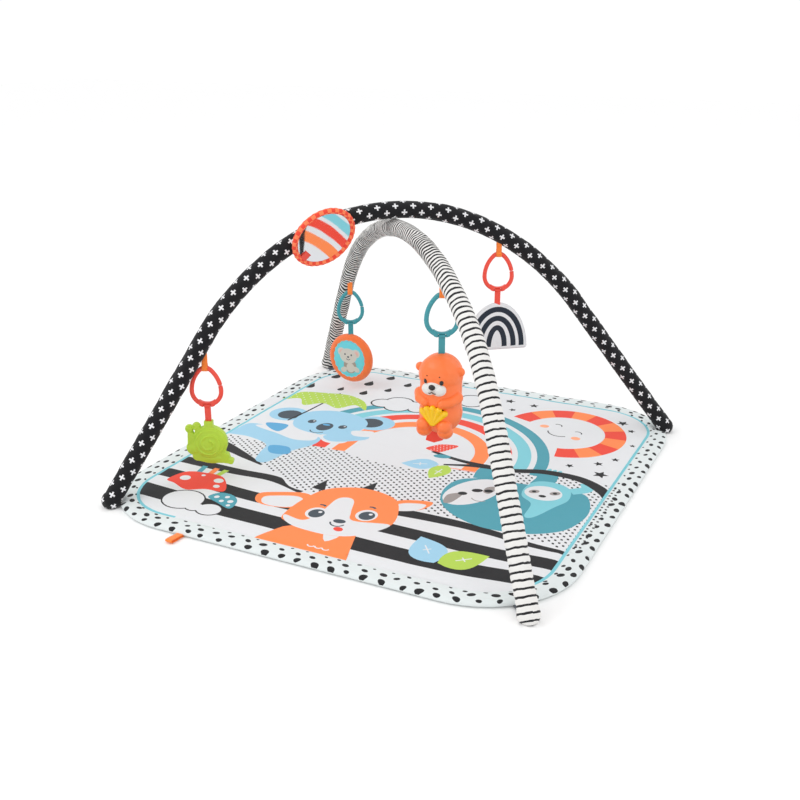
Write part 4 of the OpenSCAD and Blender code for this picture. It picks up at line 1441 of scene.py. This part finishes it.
def make_disc(simulated):
    art = Artwork("coral", oval(0, 0, DISC_R, DISC_R, 0, 96))
    window = []
    for k in range(96):
        a = math.tau * k / 96
        reach = 35 + 1.6 * abs(math.sin(a * 10))
        window.append(Vector((reach * math.cos(a), reach * 1.06 * math.sin(a))))
    art.patch("lagoon", window)
    draw_small_animal(art)
    extra = grid_points(DISC_R, -DISC_R, DISC_R, 2.5, lambda x, y: math.hypot(x, y) < DISC_R - 0.8)
    for inset in (0.3, 0.9, 1.8, 3, 4.5):
        extra += [tuple(p) for p in oval(0, 0, DISC_R - inset, DISC_R - inset, 1, 90)]

    def half_height(x, y):
        depth = DISC_R - math.hypot(x, y) / MM
        if depth < 0.05:
            return 0.0
        seam = math.exp(-((depth - 14.5) / 1.3) ** 2)
        pucker = 0.5 * hashed_noise(x * 90, y * 90, 4.0) * min(1, depth / 4)
        return (puff_profile(depth, 11, 8.6) + simulated(x, y) - 1.0 * seam + pucker) * MM

    place = at_toy("disc", DISC_R)
    disc = pillow("plush_disc", art, extra, half_height, place, plush_ink("coral"))
    for k, material in enumerate(disc.data.materials):
        if material == ink_material("coral"):
            disc.data.materials[k] = plush_ink("coral")
    inside_nodes = "disc_front_cover", "disc_back_cover", "disc_filling", "disc_window"
    dress(disc, "disc_toy", "orange_plush", *inside_nodes, fill=0.7)


def draw_small_animal(art):
    """A plain sitting animal with round ears."""
    for x in (-17, 17):
        art.oval("fawn", x, 13, 9, 8.5)
        art.oval("rose", x, 12.5, 5.4, 5)
    art.oval("taupe", 3, -14, 15, 16, 10)
    art.oval("fawn", 4, -18, 9.5, 10)
    for x, y, turn in ((-12, -24, 30), (17, -20, -25)):
        art.oval("fawn", x, y, 8, 5.5, turn)
    art.oval("fawn", -1, 6, 20, 15.5)
    for x in (-8.5, 6.5):
        art.oval("slate", x, 9, 1.7, 2.1, 0, 12)
    art.oval("slate", -1, 4, 2.5, 1.9, 0, 12)
    art.arc("slate", 1.2, -1, 3.5, 5.5, 215, 325, 8)


def plush_ink(ink):
    """Short plush in one plain colour."""
    name = "plush_" + ink
    if name not in _ink_materials:
        shader = Shader(name, INKS[ink], 0.95, Sheen_Weight=0.35, Sheen_Roughness=0.5)
        fuzz = shader.noise(1400, 4)
        shader.bump(fuzz, 0.9, 0.0012)
        shader.vary_roughness(fuzz, 0.85, 1.0)
        _ink_materials[name] = shader.material
    return _ink_materials[name]


# ---------- Musical animal ----------
def head_front(x, z):
    """How far forward the head's surface lies, in millimetres."""
    return -4 - 30.5 * math.sqrt(max(0.0, 1 - (x / 33.6) ** 2 - ((z + 31) / 30.5) ** 2))


def make_animal():
    place = at_toy("animal")
    satin = moulded("orange_satin", (1.0, 0.2, 0.045), 0.33)

    def front(balls):
        balls.blob((0, -4, -31), (33.6, 30.5, 30.5))
        balls.blob((0, -17, -40), (14, 16.3, 14))
        for side in (-1, 1):
            balls.blob((side * 33.5, -5, -24), (6.5, 4.5, 7))
            balls.rope([(side * 30, -10, -64), (side * 25, -22, -68), (side * 14, -30, -70)], 9.5, 7.5)
            balls.blob((side * 17, -24, -116), (12.5, 12.5, 11.5))
            balls.blob((side * 15, -20, -106), (11, 13, 9))

    body = moulding("animal_front", front, satin, place, ["animal_front_shell"], 0.85, 4)
    dress(body, "animal_toy", "orange_plastic", "animal_front_shell")

    def snout(balls):
        for x, width in ((-7.5, 12), (7.5, 12)):
            balls.blob((x, -28.5, -48.5), (width, 8.6, 10.2))
        balls.blob((0, -29.5, -44), (12, 8.4, 9))

    white = moulded("white_satin", (0.78, 0.77, 0.75), 0.4)
    muzzle = moulding("animal_snout", snout, white, place, (), 0.7, 3)
    dress(muzzle, "animal_toy", "white_plastic", "animal_muzzle")

    def features(balls):
        balls.blob((0, -37.6, -43), (5.4, 3.4, 4.4))
        for side in (-1, 1):
            balls.blob((side * 13, head_front(13, -36) + 0.4, -36), (3.2, 1.5, 3.9), (0, 0, side * 24))
            balls.blob((side * 10, head_front(10, -27) + 0.5, -27), (1.1, 0.9, 1.1))
            smile = [(side * t, -37.4 + 0.045 * t * t, -50.4 - 2.6 * math.sin(t / 9 * math.pi))
                     for t in range(10)]
            balls.rope(smile, 0.7)

    black = moulded("black_gloss", (0.012, 0.012, 0.014), 0.2)
    face = moulding("animal_face", features, black, place, (), 0.35, 1)
    dress(face, "animal_toy", "black_plastic")

    def fan(balls):
        balls.blob((0, -31.5, -90), (14, 4.2, 13))
        for k in range(-2, 3):
            lean = math.radians(21 * k)
            tip = Vector((27 * math.sin(lean), 0, -105 + 27 * math.cos(lean)))
            tip.y = -33.6 + 0.012 * tip.x ** 2
            balls.rope([(tip.x * 0.1, -33.4, -103), tuple(tip)], 3.0, 5.2)

    yellow = moulded("yellow_gloss", (0.93, 0.56, 0.005), 0.22)
    button = moulding("animal_fan_button", fan, yellow, place, (), 0.5, 2)
    dress(button, "animal_button", "yellow_plastic", "animal_button")
    for node in ("animal_back_shell", "animal_battery_door"):
        use(node, satin)
        round_edges(node, 0.5)
    use("animal_tail", rubbery("red_tail", INKS["red"]))
    round_edges("animal_tail", 1.2)
    use("animal_switch", moulded("black_switch", (0.02, 0.02, 0.022), 0.45))
    round_edges("animal_switch", 0.4)


# ---------- Mirror ----------
MIRROR_TURN = 42


def mirror_frame():
    """x along the tube, y up its outer side and z out of the mirror's face."""
    s = -BLACK.crown_r * math.asin(130 * MM / BLACK.crown_r)
    point, tangent, outward = BLACK.station(s)
    axes = Matrix((tangent, outward, BLACK.normal)).transposed().to_4x4()
    return Matrix.Translation(point) @ axes @ Matrix.Rotation(math.radians(MIRROR_TURN), 4, "X")


def turned(name, profile, sides, materials, ripple=None, ink=None):
    """A closed surface of revolution about z. profile holds (radius, height) in millimetres."""
    verts = []
    for i, (r, z) in enumerate(profile):
        for j in range(sides):
            a = math.tau * j / sides
            extra = ripple(i, a) if ripple else 0.0
            verts.append(Vector(((r + extra) * math.cos(a), (r + extra) * math.sin(a), z)) * MM)
    faces = []
    rows = len(profile)
    for i in range(rows):
        for j in range(sides):
            a, b = i * sides, ((i + 1) % rows) * sides
            k = (j + 1) % sides
            faces.append((a + j, a + k, b + k, b + j))
    thing = new_object(name, verts, faces, materials)
    if ink:
        for index, polygon in enumerate(thing.data.polygons):
            polygon.material_index = ink(index // sides, index % sides)
    return thing


def make_mirror():
    place = mirror_frame()
    turns = [math.tau * k / 20 for k in range(20)]
    rim_profile = [(51.5 + 4.6 * math.cos(a), 22.5 + 4.6 * math.sin(a)) for a in turns]

    def check(row, column):
        return (row // 5 + column // 3) % 2

    def padding(row, angle):
        lumps = hashed_noise(3 * math.cos(angle), 3 * math.sin(angle), row * 0.1)
        return 0.35 * math.sin(34 * angle) + 0.5 * lumps

    checks = [ink_material("red"), ink_material("tangerine")]
    rim = turned("mirror_rim_cloth", rim_profile, 144, checks, padding, check)
    rim.data.transform(place)
    dress(rim, "mirror", "red_cloth", "mirror_rim", fill=0.6)
    back_profile = [(0.5, 19.2), (20, 18.6), (38, 18.6), (47, 19.4), (51, 21), (51.5, 22), (47, 22.1),
                    (20, 22.2), (0.5, 22.2)]
    back = turned("mirror_back_cloth", back_profile, 72, [ink_material("red")],
                  lambda i, a: 0.25 * math.sin(24 * a) if 1 < i < 5 else 0.0)
    back.data.transform(place)
    dress(back, "mirror", "red_cloth", "mirror_back_cover", fill=0.6)
    webbing = cloth_print("band_cloth", (0.012, 0.012, 0.014))
    band = moulding("mirror_band", None, webbing, Matrix(), ["mirror_strap"], 0.6, 3)
    dress(band, "mirror", "black_cloth", "mirror_strap", fill=0.6)
    use("mirror_disc", mirror_film("mirror_film"))
    round_edges("mirror_disc", 0.3)
    tab_place = place @ Matrix.Rotation(math.radians(295), 4, "Z")
    path = [(-48.5, 26.4), (-45, 25.6), (-40, 25.0), (-35, 24.9)]
    tab = ribbon_strip("mirror_tab", path, 15, 0.9, tab_place, ribbon("red_ribbon", INKS["red"]))
    dress(tab, "mirror", "red_cloth", "mirror_ribbon_tab")


# ---------- Pieces that stay as the frame has them ----------
def dress_hidden_nodes():
    metal = brushed("bright_steel", (0.6, 0.61, 0.63))
    grey = moulded("grey_matte", (0.1, 0.11, 0.13), 0.6)
    tube = moulded("pole_fibre", (0.65, 0.66, 0.68), 0.45)
    foam = Shader("grey_foam", (0.7, 0.7, 0.7), 0.95)
    foam.bump(foam.noise(900, 4), 0.6, 0.0006)
    foam.vary_roughness(foam.noise(300), 0.85, 1.0)
    board = moulded("green_board", (0.02, 0.16, 0.05), 0.4)
    black = moulded("black_matte", (0.015, 0.015, 0.017), 0.6)
    for corner in ("front_left", "front_right", "back_left", "back_right"):
        use("corner_socket_" + corner, grey)
    for arch in ("black", "striped"):
        use(arch + "_pole_joiner", grey)
        use(arch + "_foot_plugs", grey)
        for end in ("front", "back"):
            use(f"{arch}_pole_{end}", tube)
            use(f"{arch}_foam_{end}", foam.material)
    for node in ("animal_button_spring", "animal_cells", "animal_screws"):
        use(node, metal)
    use("animal_circuit_board", board)
    use("animal_speaker", black)


make_camera()
make_studio()
make_floor()
dress_hidden_nodes()
make_sleeves()
make_mat()
satin = ribbon("orange_ribbon", (1.0, 0.23, 0.02))
make_loops(satin)
make_mat_tab(satin)
make_rings()
make_snail()
make_crinkle(simulate_pad("crinkle_puff", 60, 44, 4, crinkle_held, 3.0, 1.6))
make_disc(simulate_pad("disc_puff", 50, 50, 4, disc_held, 3.0, 1.4))
make_animal()
make_mirror()
